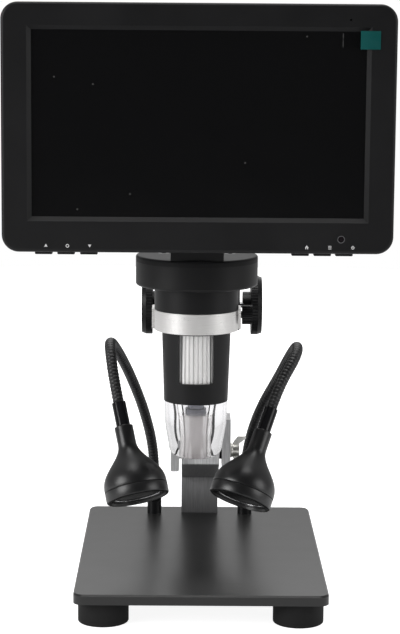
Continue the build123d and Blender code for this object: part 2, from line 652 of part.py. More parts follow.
nose_inner = tube_inner - 1.6
nose_plate_bottom, nose_plate_top = tube_bottom + 2.2, tube_bottom + 4.0
spigot_top = ring_bottom + 7
with BuildPart() as tube:
    with BuildSketch(Plane.XZ.offset(-head_y)):
        with BuildLine():
            Polyline((nose_inner, tube_bottom), (tube_bottom_radius, tube_bottom),
                     (tube_top_radius, ring_bottom), (barrel_inner, ring_bottom),
                     (barrel_inner, spigot_top), (tube_inner - 1, spigot_top),
                     (tube_inner - 1, wheel_top + loose_gap), (tube_inner, wheel_top + loose_gap),
                     (tube_inner, wheel_bottom - loose_gap),
                     (nose_inner, wheel_bottom - loose_gap), (nose_inner, nose_plate_top),
                     (lens_radius + running_fit, nose_plate_top),
                     (lens_radius + running_fit, nose_plate_bottom),
                     (nose_inner, nose_plate_bottom), close=True)
        make_face()
    revolve(axis=Axis((0, head_y, 0), (0, 0, 1)))
    with BuildSketch(Plane.XZ.offset(-head_y)):
        with Locations((0, (window_bottom + window_top) / 2)):
            RectangleRounded(window_width, window_top - window_bottom, window_corner)
    extrude(amount=tube_top_radius + 1, mode=Mode.SUBTRACT)
save(tube, "tube")

with BuildPart() as focus_wheel:
    with BuildSketch(Plane.XY.offset(wheel_bottom)):
        with Locations((0, head_y)):
            Circle(wheel_radius)
            with PolarLocations(wheel_radius + 0.1, wheel_ribs):
                Circle(wheel_groove, mode=Mode.SUBTRACT)
            Circle(wheel_bore, mode=Mode.SUBTRACT)
    extrude(amount=wheel_top - wheel_bottom)
save(focus_wheel, "focus_wheel")

with BuildPart() as lens_barrel:
    with BuildSketch(Plane.XZ.offset(-head_y)):
        with BuildLine():
            Polyline((lens_bore, lens_bottom), (lens_radius, lens_bottom),
                     (lens_radius, lens_flange_bottom), (wheel_bore - running_fit,
                     lens_flange_bottom), (wheel_bore - running_fit, lens_top),
                     (lens_bore, lens_top), close=True)
        make_face()
    revolve(axis=Axis((0, head_y, 0), (0, 0, 1)))
save(lens_barrel, "lens_barrel")

with BuildPart() as objective_lens:
    with BuildSketch(Plane.XY.offset(lens_bottom + glass_lift)):
        with Locations((0, head_y)):
            Circle(lens_bore)
    extrude(amount=glass_thickness)
save(objective_lens, "objective_lens")

with BuildPart() as led_ring:
    with BuildSketch(Plane.XY.offset(nose_plate_bottom)):
        with Locations((0, head_y)):
            Circle(nose_inner - 0.9)
            Circle(lens_radius + loose_gap, mode=Mode.SUBTRACT)
    extrude(amount=-led_board_thickness)
    with BuildSketch(Plane.XY.offset(nose_plate_bottom - led_board_thickness)):
        with Locations((0, head_y)):
            with PolarLocations(led_circle, led_count):
                Circle(led_radius)
    extrude(amount=-led_height)
save(led_ring, "led_ring")

with BuildPart() as sensor_board:
    with BuildSketch(Plane.XY.offset(spigot_top)):
        with Locations((0, head_y)):
            Circle(barrel_inner - slide_gap)
    extrude(amount=sensor_board_thickness)
    with BuildSketch(Plane.XY.offset(spigot_top)):
        with Locations((0, head_y)):
            Rectangle(sensor_size, sensor_size)
    extrude(amount=-sensor_height)
save(sensor_board, "sensor_board")

snoot_rise = tube_bottom - snoot_bottom
spigot_inner = nose_inner - slide_gap - snoot_spigot_wall
lip_middle = snoot_lip * (1 - sqrt(0.5))
with BuildPart() as snoot:
    with BuildSketch(Plane.XZ.offset(-head_y)):
        with BuildLine():
            Polyline((snoot_top_radius, tube_bottom), (nose_inner - slide_gap, tube_bottom),
                     (nose_inner - slide_gap, tube_bottom + snoot_spigot),
                     (spigot_inner, tube_bottom + snoot_spigot),
                     (spigot_inner, tube_bottom - snoot_spigot),
                     (snoot_inner_top, tube_bottom - snoot_shoulder))
            Spline((snoot_inner_top, tube_bottom - snoot_shoulder),
                   (snoot_waist, snoot_bottom + snoot_rise * 0.42),
                   (snoot_inner_bottom, snoot_bottom + snoot_lip))
            ThreePointArc((snoot_inner_bottom, snoot_bottom + snoot_lip),
                          (snoot_inner_bottom + lip_middle, snoot_bottom + lip_middle),
                          (snoot_inner_bottom + snoot_lip, snoot_bottom))
            Line((snoot_inner_bottom + snoot_lip, snoot_bottom), (snoot_foot_radius, snoot_bottom))
            Spline((snoot_foot_radius, snoot_bottom),
                   (snoot_top_radius - snoot_round_in, snoot_bottom + snoot_round_up),
                   (snoot_top_radius - snoot_belly_in, snoot_bottom + snoot_belly_up),
                   (snoot_top_radius, tube_bottom), tangents=((1, 0), (0, 1)))
        make_face()
    revolve(axis=Axis((0, head_y, 0), (0, 0, 1)))
save(snoot, "snoot")

# ---------------------------------------------------------------- monitor
glass_front = monitor_front + screen_lip + glass_recess
panel_front = glass_front + glass_thick


def monitor_plane(y):
    """Upright plane at depth y that faces the front, X to the right and its Y up."""
    return Plane((0, y, monitor_middle), x_dir=(1, 0, 0), z_dir=(0, -1, 0))


screen_up = screen_middle - monitor_middle
receiver_x, receiver_up, receiver_radius = monitor_width / 2 - 24.4, 6.9 - monitor_height / 2, 1.55
mic_x, mic_up, mic_radius = monitor_width / 2 - 21.6, monitor_height / 2 - 7.2, 0.5
with BuildPart() as bezel:
    with BuildSketch(monitor_plane(bezel_back)):
        RectangleRounded(monitor_width, monitor_height, monitor_corner)
    extrude(amount=bezel_depth)
    fillet(bezel.faces().sort_by(Axis.Y)[0].edges(), bezel_round)
    with BuildSketch(monitor_plane(glass_front)):
        with Locations((0, screen_up)):
            Rectangle(screen_width + 2 * glass_margin, screen_height + 2 * glass_margin)
    extrude(amount=-bezel_depth, mode=Mode.SUBTRACT)
    with BuildSketch(monitor_plane(panel_front)):
        RectangleRounded(monitor_width - 2 * shell_wall, monitor_height - 2 * shell_wall,
                         monitor_corner - shell_wall)
    extrude(amount=-bezel_depth, mode=Mode.SUBTRACT)
    with BuildSketch(monitor_plane(monitor_front)):
        with Locations((0, screen_up)):
            Rectangle(screen_width + 2 * screen_lip, screen_height + 2 * screen_lip)
    extrude(amount=-(glass_front - monitor_front), taper=degrees(
        atan2(screen_lip, glass_front - monitor_front)), mode=Mode.SUBTRACT)
    with BuildSketch(monitor_plane(monitor_front)):
        with Locations((receiver_x, receiver_up)):
            Circle(receiver_radius)
        with Locations((mic_x, mic_up)):
            Circle(mic_radius)
    extrude(amount=-bezel_depth, mode=Mode.SUBTRACT)
save(bezel, "bezel")

with BuildPart() as receiver_window:
    with BuildSketch(monitor_plane(monitor_front + 0.3)):
        with Locations((receiver_x, receiver_up)):
            Circle(receiver_radius)
    extrude(amount=-(panel_front - monitor_front - 0.3))
save(receiver_window, "receiver_window")

with BuildPart() as cover_glass:
    with BuildSketch(monitor_plane(glass_front)):
        with Locations((0, screen_up)):
            Rectangle(screen_width + 2 * glass_margin - 2 * wall_slack,
                      screen_height + 2 * glass_margin - 2 * wall_slack)
    extrude(amount=-glass_thick)
save(cover_glass, "cover_glass")

with BuildPart() as lcd_panel:
    with BuildSketch(monitor_plane(panel_front)):
        with Locations((0, screen_up)):
            RectangleRounded(screen_width + 2 * panel_border_x, screen_height + 2 * panel_border_up, 1)
    extrude(amount=-panel_thick)
save(lcd_panel, "lcd_panel")

tab_width, tab_height, tab_thick = 9.2, 8.4, 0.25
tab_x, tab_up = screen_width / 2 + 1.4, screen_up + screen_height / 2 - 3.85
with BuildPart() as film_tab:
    with BuildSketch(monitor_plane(monitor_front)):
        with Locations((tab_x, tab_up)):
            RectangleRounded(tab_width, tab_height, 0.4)
    extrude(amount=tab_thick)
save(film_tab, "film_tab")

button_y = bezel_back + 5.2
button_floor = monitor_bottom + shell_wall
button_flange = 0.8
button_board_z = button_floor + slide_gap + button_flange + button_travel + 2.7
lug_planes = [Plane.YZ.offset(x) for x in
              (-neck_width / 2 - loose_gap - lug_thickness, neck_width / 2 + loose_gap)]
screw_up = monitor_height / 2 - 7
screw_out = monitor_width / 2 - 7
board_front = panel_front + panel_thick + 1.4
board_width, board_height, board_thick = monitor_width - 14, 66.0, 1.6
board_up = 8.0
board_back = board_front + board_thick
usb_height, usb_width, usb_z = 2.8, 7.6, monitor_middle + 20
card_height, card_width, card_z = 1.6, 11.2, monitor_middle
socket_length, socket_wall = 8.0, 0.4
post_places = [(i * (board_width / 2 - 4), board_up + j * (board_height / 2 - 4))
               for i in (-1, 1) for j in (-1, 1)]
with BuildPart() as rear_shell:
    with BuildSketch(monitor_plane(shell_back)):
        RectangleRounded(monitor_width, monitor_height, monitor_corner)
    extrude(amount=shell_depth)
    fillet(rear_shell.faces().sort_by(Axis.Y)[-1].edges(), shell_round)
    with BuildSketch(monitor_plane(bezel_back)):
        RectangleRounded(monitor_width - 2 * shell_wall, monitor_height - 2 * shell_wall,
                         monitor_corner - shell_wall)
    extrude(amount=-(shell_depth - shell_wall), mode=Mode.SUBTRACT)
    with BuildSketch(monitor_plane(shell_back - shell_wall)):
        with Locations(*post_places):
            Circle(2.6)
    extrude(amount=shell_back - shell_wall - board_back)
    with BuildSketch(monitor_plane(shell_back - shell_wall)):
        with Locations(*[(i * screw_out, j * screw_up) for i in (-1, 1) for j in (-1, 1)]):
            Circle(3.4)
    extrude(amount=shell_depth - shell_wall)
    with BuildSketch(*lug_planes):
        with Locations((hinge_y, hinge_z)):
            Circle(hinge_boss_radius)
        with Locations(((hinge_y + shell_back) / 2 - 0.5, hinge_z)):
            Rectangle(hinge_y - shell_back + 1, 2 * hinge_boss_radius)
    extrude(amount=lug_thickness)
    with BuildSketch(*lug_planes):
        with Locations((hinge_y, hinge_z)):
            Circle(hinge_radius)
    extrude(amount=lug_thickness, mode=Mode.SUBTRACT)
    with BuildSketch(Plane.XY.offset(monitor_bottom)):
        with Locations(*[(x, button_y) for x in button_xs.values()]):
            Rectangle(button_width + 2 * wall_slack, button_depth + 2 * wall_slack)
    extrude(amount=shell_wall, mode=Mode.SUBTRACT)
    with Locations(*[facing(i * screw_out, shell_back, monitor_middle + j * screw_up, (0, 1, 0))
                     for i in (-1, 1) for j in (-1, 1)]):
        CounterBoreHole(m2_radius, m2_head_radius + loose_gap, 1.6, 11)
    with BuildSketch(monitor_plane(shell_back)):
        with Locations((0, 30)):
            with GridLocations(6, 0.1, 9, 1):
                SlotOverall(14, 1.8, rotation=90)
    extrude(amount=shell_wall, mode=Mode.SUBTRACT)
    with BuildSketch(Plane.YZ.offset(monitor_width / 2 - shell_wall)):
        with Locations((board_back + usb_height / 2, usb_z)):
            Rectangle(usb_height + slide_gap, usb_width + slide_gap)
        with Locations((board_back + card_height / 2, card_z)):
            Rectangle(card_height + slide_gap, card_width + slide_gap)
    extrude(amount=shell_wall, mode=Mode.SUBTRACT)
save(rear_shell, "rear_shell")

shell_screw_planes = [facing(i * screw_out, shell_back - 1.6, monitor_middle + j * screw_up,
                             (0, 1, 0)) for i in (-1, 1) for j in (-1, 1)]
shell_screws = make_screws(shell_screw_planes, m2_radius, 9, m2_head_radius, m2_head_height)
save(shell_screws, "shell_screws")

with BuildPart() as hinge_pin:
    with BuildSketch(Plane.YZ):
        with Locations((hinge_y, hinge_z)):
            Circle(hinge_radius)
    extrude(amount=neck_width / 2 + loose_gap + lug_thickness + pin_stand, both=True)
    chamfer(hinge_pin.edges().filter_by(GeomType.CIRCLE), pin_edge)
save(hinge_pin, "hinge_pin")

with BuildPart() as main_board:
    with BuildSketch(monitor_plane(board_front)):
        with Locations((0, board_up)):
            Rectangle(board_width, board_height)
    extrude(amount=-board_thick)
    with BuildSketch(monitor_plane(board_back)):
        with Locations((-30, board_up + 6)):
            Rectangle(14, 14)
        with Locations((-4, board_up + 14), (-4, board_up - 2)):
            Rectangle(10, 8)
    extrude(amount=-1.2)
save(main_board, "main_board")

with BuildPart() as battery:
    with BuildSketch(monitor_plane(board_back)):
        with Locations((32, board_up)):
            RectangleRounded(50, 34, 1.5)
    extrude(amount=-4.2)
save(battery, "battery")

socket_end = monitor_width / 2 - 0.4
with BuildPart() as side_sockets:
    for height, width, z in ((usb_height, usb_width, usb_z), (card_height, card_width, card_z)):
        with BuildSketch(Plane.YZ.offset(socket_end - socket_length)):
            with Locations((board_back + height / 2, z)):
                Rectangle(height, width)
        extrude(amount=socket_length)
        with BuildSketch(Plane.YZ.offset(socket_end)):
            with Locations((board_back + height / 2, z)):
                Rectangle(height - 2 * socket_wall, width - 2 * socket_wall)
        extrude(amount=-(socket_length - 2 * socket_wall), mode=Mode.SUBTRACT)
save(side_sockets, "side_sockets")

# button board: it stands out of the back wall, and a switch hangs over each cap
strip_front, strip_rear = button_y - 4.3, shell_back - shell_wall
strip_width, strip_thick, switch_size, switch_height = 34.0, 1.2, 4.5, 2.0
strip_xs = [(button_xs["up"] + button_xs["down"]) / 2, (button_xs["home"] + button_xs["power"]) / 2]
with BuildPart() as button_board:
    with BuildSketch(Plane.XY.offset(button_board_z)):
        with Locations(*[(x, (strip_front + strip_rear) / 2) for x in strip_xs]):
            Rectangle(strip_width, strip_rear - strip_front)
    extrude(amount=strip_thick)
    with BuildSketch(Plane.XY.offset(button_board_z)):
        with Locations(*[(x, button_y) for x in button_xs.values()]):
            Rectangle(switch_size, switch_size)
    extrude(amount=-switch_height)
    with BuildSketch(Plane.XY.offset(button_board_z - switch_height)):
        with Locations(*[(x, button_y) for x in button_xs.values()]):
            Circle(1.2)
    extrude(amount=-0.5)
save(button_board, "button_board")


def make_button(x):
    """A cap that stands under the shell, with a wider foot inside that keeps it in its slot."""
    with BuildPart() as button:
        with BuildSketch(Plane.XY.offset(monitor_bottom - button_stand)):
            with Locations((x, button_y)):
                RectangleRounded(button_width, button_depth, 0.6)
        extrude(amount=button_stand + shell_wall + slide_gap)
        chamfer(button.edges().group_by(Axis.Z)[0], 0.3)
        with BuildSketch(Plane.XY.offset(button_floor + slide_gap)):
            with Locations((x, button_y)):
                Rectangle(button_width + 1.4, button_depth + 1.4)
        extrude(amount=button_flange)
    return button


for name, x in button_xs.items():
    save(make_button(x), f"button_{name}")


# ---------------------------------------------------------------- gooseneck lamps
def bend_radii(points):
    """The largest tangent arc at each corner that still leaves each run a short straight."""
    radii = []
    for before, here, after in zip(points, points[1:], points[2:]):
        run_in, run_out = Vector(here) - Vector(before), Vector(after) - Vector(here)
        turn = radians(run_in.get_angle(run_out))
        radii.append(0.45 * min(run_in.length, run_out.length) / tan(turn / 2))
    return radii


def make_lamp(side):
    post_x, post_y = socket_places[("left", "right").index(side)]
    points = [(post_x + x, post_y + y, z) for x, y, z in lamp_paths[side]]
    rim_x, rim_y, rim_z = lamp_rims[side]
    top, rim = Vector(points[-1]), Vector(post_x + rim_x, post_y + rim_y, rim_z)
    axis = (rim - top).normalized()
    path = points[:-1] + [tuple(top - axis * lamp_last_run), tuple(top)]
    radii = bend_radii(path)
    print(side, "gooseneck radii", [round(r, 1) for r in radii])
    with BuildPart() as gooseneck:
        with BuildLine() as route:
            FilletPolyline(*path, radius=radii)
        with BuildSketch(Plane(path[0], z_dir=(0, 0, 1))):
            Circle(gooseneck_radius)
        sweep(path=route.wires()[0])
        with Locations(tuple(top)):
            Sphere(gooseneck_radius)

    with BuildPart() as ferrule:
        with BuildSketch(Plane((post_x, post_y, plate_top + socket_height + loose_gap))):
            Circle(socket_radius)
        extrude(amount=ferrule_top - plate_top - socket_height - loose_gap)
        with BuildSketch(Plane((post_x, post_y, plate_top + loose_gap))):
            Circle(spigot_radius)
        extrude(amount=socket_height + 1)
    save_group([gooseneck, ferrule], f"gooseneck_{side}")

    across = Vector(0, 0, 1).cross(axis).normalized()
    plane = Plane(origin=tuple(top), x_dir=tuple(across), z_dir=tuple(axis.cross(across)))
    down_axis = Axis(tuple(top), tuple(axis))
    sign = 1 if plane.y_dir.dot(axis) > 0 else -1
    with BuildPart() as shade:
        with BuildSketch(plane):
            with BuildLine():
                Polyline((0, 0), (lamp_collar_radius, 0),
                         (lamp_collar_radius, sign * lamp_collar),
                         (lamp_neck_radius, sign * (lamp_collar + 0.4)),
                         (lamp_neck_radius, sign * shade_start))
                Spline((lamp_neck_radius, sign * shade_start),
                       (lamp_radius * 0.52, sign * (shade_start + lamp_shade * 0.32)),
                       (lamp_radius * 0.88, sign * (shade_start + lamp_shade * 0.68)),
                       (lamp_radius, sign * rim_start))
                Polyline((lamp_radius, sign * rim_start),
                         (lamp_radius - lamp_wall, sign * rim_start),
                         (lamp_radius * 0.83 - lamp_wall, sign * (shade_start + lamp_shade * 0.68)),
                         (lamp_neck_radius, sign * (shade_start + lamp_shade * 0.42)),
                         (0, sign * (shade_start + lamp_shade * 0.42)), (0, 0))
            make_face()
        revolve(axis=down_axis)
        with Locations(tuple(top)):
            Sphere(gooseneck_radius + loose_gap, mode=Mode.SUBTRACT)
    save(shade, f"lamp_shade_{side}")

    lens_start = rim_start + lamp_rim_height * 0.35
    with BuildPart() as rim_ring:
        with BuildSketch(plane):
            with BuildLine():
                Polyline((lamp_radius - lamp_rim_wall, sign * rim_start), (lamp_radius, sign * rim_start),
                         (lamp_radius, sign * (rim_start + lamp_rim_height - 0.6)),
                         (lamp_radius - 0.6, sign * (rim_start + lamp_rim_height)),
                         (lamp_radius - lamp_rim_wall, sign * (rim_start + lamp_rim_height)), close=True)
            make_face()
        revolve(axis=down_axis)
    save(rim_ring, f"lamp_rim_{side}")

    with BuildPart() as lamp_lens:
        with BuildSketch(Plane(origin=tuple(top + axis * lens_start), z_dir=tuple(axis))):
            Circle(lamp_radius - lamp_rim_wall)
        extrude(amount=lamp_lens_thick)
        with BuildSketch(Plane(origin=tuple(top + axis * (rim_start - 0.2)), z_dir=tuple(axis))):
            Circle(lamp_radius - lamp_rim_wall - lamp_board_inset)
        extrude(amount=-lamp_lens_thick)
    save(lamp_lens, f"lamp_lens_{side}")


for side in ("left", "right"):
    make_lamp(side)
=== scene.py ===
import bpy
import json
import math
from mathutils import Euler, Matrix, Vector


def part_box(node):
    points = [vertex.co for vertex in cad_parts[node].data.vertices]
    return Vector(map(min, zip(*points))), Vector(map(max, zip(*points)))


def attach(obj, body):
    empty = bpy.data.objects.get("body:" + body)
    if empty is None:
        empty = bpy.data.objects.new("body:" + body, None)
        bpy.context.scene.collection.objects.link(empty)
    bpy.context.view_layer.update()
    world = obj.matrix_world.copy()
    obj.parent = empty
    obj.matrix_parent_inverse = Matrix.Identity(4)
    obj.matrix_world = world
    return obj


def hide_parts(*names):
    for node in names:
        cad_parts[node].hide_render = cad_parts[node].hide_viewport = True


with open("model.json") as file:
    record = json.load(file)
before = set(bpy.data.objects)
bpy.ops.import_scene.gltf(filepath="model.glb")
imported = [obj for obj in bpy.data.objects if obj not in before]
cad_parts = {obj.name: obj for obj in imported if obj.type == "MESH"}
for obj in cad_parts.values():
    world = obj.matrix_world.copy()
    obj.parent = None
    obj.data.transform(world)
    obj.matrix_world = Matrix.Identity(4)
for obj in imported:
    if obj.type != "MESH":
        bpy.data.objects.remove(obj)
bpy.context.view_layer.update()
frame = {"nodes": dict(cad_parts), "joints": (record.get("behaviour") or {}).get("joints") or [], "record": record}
nodes = frame["nodes"]
mm = 0.001


def at(x, y, z):
    return Vector((x * mm, y * mm, z * mm))


def middleOf(node):
    low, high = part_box(node)
    return (low + high) / 2


def tint(red, green, blue):
    # a colour as a screen shows it, 0 to 255, turned into light
    def light(value):
        value /= 255
        return value / 12.92 if value < 0.04045 else ((value + 0.055) / 1.055) ** 2.4
    return (light(red), light(green), light(blue), 1)


def distance(x, y):
    return (x * x + y * y) ** 0.5


class Flow:
    # a socket whose numbers can be added, multiplied and compared
    def __init__(self, net, socket):
        self.net = net
        self.socket = socket

    def work(self, operation, first, second=0.0):
        return self.net.work(operation, first, second)

    def __add__(self, other):
        return self.work("ADD", self, other)

    def __radd__(self, other):
        return self.work("ADD", other, self)

    def __sub__(self, other):
        return self.work("SUBTRACT", self, other)

    def __rsub__(self, other):
        return self.work("SUBTRACT", other, self)

    def __mul__(self, other):
        return self.work("MULTIPLY", self, other)

    def __rmul__(self, other):
        return self.work("MULTIPLY", other, self)

    def __pow__(self, other):
        return self.work("POWER", self, other)

    def __gt__(self, other):
        return self.work("GREATER_THAN", self, other)

    def __lt__(self, other):
        return self.work("LESS_THAN", self, other)

    def __abs__(self):
        return self.work("ABSOLUTE", self)


class Net:
    # a node tree, with one way to add a node: its type, its settings and its inputs
    def __init__(self, tree):
        self.tree = tree

    def node(self, kind, settings=None, inputs=None, output=0):
        made = self.tree.nodes.new(kind)
        for key, value in (settings or {}).items():
            setattr(made, key, value)
        for key, value in (inputs or {}).items():
            self.feed(made.inputs[key], value)
        return Flow(self, made.outputs[output] if made.outputs else None)

    def feed(self, socket, value):
        if isinstance(value, Flow):
            self.tree.links.new(value.socket, socket)
        else:
            socket.default_value = value

    def work(self, operation, first, second):
        return self.node("ShaderNodeMath", {"operation": operation}, {0: first, 1: second})

    def rays(self, kind):
        # 1 where rays of this kind arrive: Camera, Transmission or Glossy
        return self.node("ShaderNodeLightPath", output="Is " + kind + " Ray")


class Finish(Net):
    def __init__(self, name, **fixed):
        self.material = bpy.data.materials.new(name)
        self.material.use_nodes = True
        super().__init__(self.material.node_tree)
        self.shader = self.tree.nodes["Principled BSDF"]
        self.here = self.node("ShaderNodeTexCoord", output="Object")
        self.put(**fixed)

    def put(self, **values):
        for socket, value in values.items():
            self.feed(self.shader.inputs[socket.replace("_", " ")], value)

    def noise(self, size, detail, stretch=(1, 1, 1), shift=(0, 0, 0)):
        # clouds about size metres across, drawn out along an axis where stretch is under 1
        place = self.node("ShaderNodeMapping", {},
                          {"Vector": self.here, "Scale": stretch, "Location": shift})
        return self.node("ShaderNodeTexNoise", {}, {"Vector": place, "Scale": 1 / size, "Detail": detail})

    def blend(self, share, first, second):
        # the first colour where share is 0, the second where it is 1
        return self.node("ShaderNodeMix", {"data_type": "RGBA"}, {"Factor": share, 6: first, 7: second}, 2)

    def step(self, value, low, high):
        # 0 at low and 1 at high, with soft ends; low may be the larger of the two
        return self.node("ShaderNodeMapRange", {"interpolation_type": "SMOOTHSTEP"},
                         {"Value": value, "From Min": low, "From Max": high})

    def axis(self, name):
        return self.node("ShaderNodeSeparateXYZ", {}, {0: self.here}, name)

    def offAxis(self, middle):
        # how far a point is from the upright line through middle, along X and along Y
        return self.axis("X") - middle.x, self.axis("Y") - middle.y

    def mix(self, share, other):
        # lays another shader over this one, by share
        surface = self.tree.nodes["Material Output"].inputs["Surface"]
        under = Flow(self, surface.links[0].from_socket)
        self.feed(surface, self.node("ShaderNodeMixShader", {}, {0: share, 1: under, 2: other}))

    def bump(self, height, depth):
        self.put(Normal=self.node("ShaderNodeBump", {},
                                  {"Height": height, "Distance": depth, "Strength": 1.0}))


# the plain black that the others start from
blackLook = {"color": tint(17, 17, 18), "worn": tint(21, 21, 22), "roughness": 0.46, "shine": 0.25,
             "grain": 0.0006, "grainSwing": 0.08, "cloud": 0.025, "cloudSwing": 0.10, "depth": 0.000015}
blackLooks = {   # what each black plastic, rubber or paint changes in blackLook
    "casePlastic": {},
    "nylonBlack": {"roughness": 0.5},
    "footRubber": {"color": tint(24, 24, 24), "worn": tint(29, 29, 29), "roughness": 0.72,
                   "grain": 0.0009, "depth": 0.00004},
    "blackAnodised": {"color": tint(20, 20, 21), "roughness": 0.36, "grain": 0.0003, "depth": 0.000008},
    "headPlastic": {"color": tint(12, 12, 13), "worn": tint(16, 16, 17), "roughness": 0.42,
                    "grain": 0.0004, "depth": 0.000008},
    "lidPlastic": {"color": tint(23, 23, 24), "worn": tint(27, 27, 28), "roughness": 0.5, "shine": 0.12},
    "lampPaint": {"color": tint(13, 13, 14), "worn": tint(18, 18, 19), "roughness": 0.36, "shine": 0.6,
                  "grain": 0.0005, "depth": 0.00001},
    "collarGloss": {"color": tint(20, 20, 22), "worn": tint(24, 24, 26), "roughness": 0.16,
                    "grain": 0.0008, "depth": 0.000003},
}


def mouldedPlastic(name, changes):
    # fine spark-eroded grain with slow clouds of handling over it
    look = {**blackLook, **changes}
    finish = Finish(name, Specular_IOR_Level=look["shine"])
    grain = finish.noise(look["grain"], 3)
    cloud = finish.noise(look["cloud"], 2, shift=(0.3, 0.1, 0.2))
    swing = look["cloudSwing"] * (cloud - 0.5) + look["grainSwing"] * (grain - 0.5)
    finish.put(Base_Color=finish.blend(finish.step(cloud, 0.3, 0.7), look["color"], look["worn"]),
               Roughness=look["roughness"] + swing)
    finish.bump(grain, look["depth"])
    return finish.material


# the plain metal that the others start from
brushedLook = {"metal": 1.0, "line": 0.0003, "stretch": (1, 1, 1), "depth": 0.000006,
               "deepShare": 0.4, "scratchSwing": 0.14, "cloud": 0.012, "cloudSwing": 0.06}
brushedLooks = {   # what each brushed or plated metal changes in brushedLook
    "blackScrew": {"color": tint(40, 40, 42), "light": tint(64, 64, 66), "metal": 0.7, "roughness": 0.38,
                   "depth": 0.00001},
    "brightSteel": {"color": tint(150, 150, 152), "light": tint(190, 190, 192), "roughness": 0.28,
                    "line": 0.0002, "stretch": (0.1, 1, 1), "depth": 0.00001},
    "nickelPlate": {"color": tint(205, 204, 198), "light": tint(232, 231, 226), "roughness": 0.30},
    "socketSteel": {"color": tint(180, 180, 182), "light": tint(214, 214, 216), "roughness": 0.22},
    "brushedCheek": {"color": tint(176, 176, 177), "light": tint(204, 204, 205), "metal": 0.45,
                     "roughness": 0.40, "line": 0.0002, "stretch": (1, 1, 0.04), "depth": 0.00001},
    # a lighter copy of nickelPlate for the wings, painted brighter as the reflection they catch
    "wingNickelLit": {"color": tint(226, 225, 220), "light": tint(246, 245, 241), "metal": 0.55,
                   "roughness": 0.36},
}


def brushedMetal(name, changes):
    # long fine scratches along one axis, and a few deeper ones
    look = {**brushedLook, **changes}
    finish = Finish(name, Metallic=look["metal"])
    fine = finish.noise(look["line"], 3, look["stretch"])
    deep = finish.noise(look["line"] * 4, 2, look["stretch"], (0.5, 0.2, 0.7))
    cloud = finish.noise(look["cloud"], 2)
    share = (1 - look["deepShare"]) * fine + look["deepShare"] * deep
    swing = look["scratchSwing"] * (share - 0.5) + look["cloudSwing"] * (cloud - 0.5)
    finish.put(Base_Color=finish.blend(finish.step(share, 0.35, 0.65), look["color"], look["light"]),
               Roughness=look["roughness"] + swing)
    finish.bump(share, look["depth"])
    return finish.material


turnedLooks = {
    "bushBrass": {"color": tint(186, 150, 84), "light": tint(212, 178, 110), "roughness": 0.3,
                  "line": 0.0003, "depth": 0.00001},
    "brushedRing": {"color": tint(222, 220, 218), "light": tint(244, 243, 241), "roughness": 0.30,
                    "line": 0.00018, "depth": 0.000012},
    "lensAnodised": {"color": tint(84, 85, 92), "light": tint(112, 113, 120), "roughness": 0.35,
                     "line": 0.0003, "depth": 0.00002},
}


def turnedMetal(name, look):
    # lathe rings about the head's upright axis: the scratches follow height
    finish = Finish(name, Metallic=1.0)
    ring = finish.noise(look["line"], 2, (0.02, 0.02, 1))
    cloud = finish.noise(0.015, 2)
    finish.put(Base_Color=finish.blend(ring, look["color"], look["light"]),
               Roughness=look["roughness"] + 0.12 * (ring - 0.5) + 0.08 * (cloud - 0.5))
    finish.bump(ring, look["depth"])
    return finish.material


glassLooks = {   # dustGap is how far apart the specks may be, dust how large they are in it
    "coatedLens": {"color": tint(30, 28, 46), "dusty": tint(60, 60, 70), "coat": 1.0,
                   "roughness": 0.03, "dustGap": 0.004, "dust": 0.02},
    "receiverWindow": {"color": tint(20, 14, 18), "dusty": tint(40, 36, 38), "coat": 0.0,
                       "roughness": 0.12, "dustGap": 0.004, "dust": 0.02},
    "screenGlass": {"color": tint(12, 12, 13), "dusty": tint(58, 58, 57), "coat": 0.0,
                    "roughness": 0.10, "dustGap": 0.022, "dust": 0.018},
    "panelGlass": {"color": tint(8, 8, 9), "dusty": tint(20, 20, 20), "coat": 0.0,
                   "roughness": 0.2, "dustGap": 0.02, "dust": 0.01},
    # the clear lamp lens, painted near black as the shade inside the lamp's mouth
    "shadedLampLens": {"color": tint(9, 9, 10), "dusty": tint(30, 30, 30), "coat": 0.2,
                 "roughness": 0.18, "dustGap": 0.006, "dust": 0.02},
}


def coatedGlass(name, look):
    # dark glass with a few specks of dust, spread over the upright face
    finish = Finish(name, IOR=1.52, Coat_Roughness=0.03, Coat_Weight=look["coat"])
    cloud = finish.noise(0.02, 2)
    face = finish.node("ShaderNodeCombineXYZ", {}, {0: finish.axis("X"), 1: finish.axis("Z")})
    speck = finish.node("ShaderNodeTexVoronoi", {"voronoi_dimensions": "2D"},
                        {"Vector": face, "Scale": 1 / look["dustGap"]})
    lucky = finish.noise(look["dustGap"] * 0.6, 1, shift=(0.6, 0, 0.3))
    dust = (speck < look["dust"]) * (lucky > 0.58)   # only some of the specks are there
    finish.put(Base_Color=finish.blend(dust, look["color"], look["dusty"]),
               Roughness=look["roughness"] + 0.05 * cloud + 0.5 * dust)
    return finish.material


def satinPlate(name):
    # satin black powder coat with a few long scuffs
    look = {"color": tint(30, 30, 30), "dusty": tint(58, 57, 56), "roughness": 0.30,
            "powder": 0.0005, "depth": 0.000012, "cloud": 0.03, "scuff": 0.006, "scuffShare": 0.6}
    finish = Finish(name)
    powder = finish.noise(look["powder"], 3)
    cloud = finish.noise(look["cloud"], 3, shift=(0.1, 0.4, 0))
    marks = finish.step(finish.noise(look["scuff"], 2, (0.35, 3.0, 1), (0.02, 0.3, 0)), 0.74, 0.80)
    dust = 0.15 * cloud + look["scuffShare"] * marks
    finish.put(Base_Color=finish.blend(dust, look["color"], look["dusty"]),
               Roughness=look["roughness"] + 0.10 * (cloud - 0.5) + 0.15 * marks)
    finish.bump(powder, look["depth"])
    return finish.material


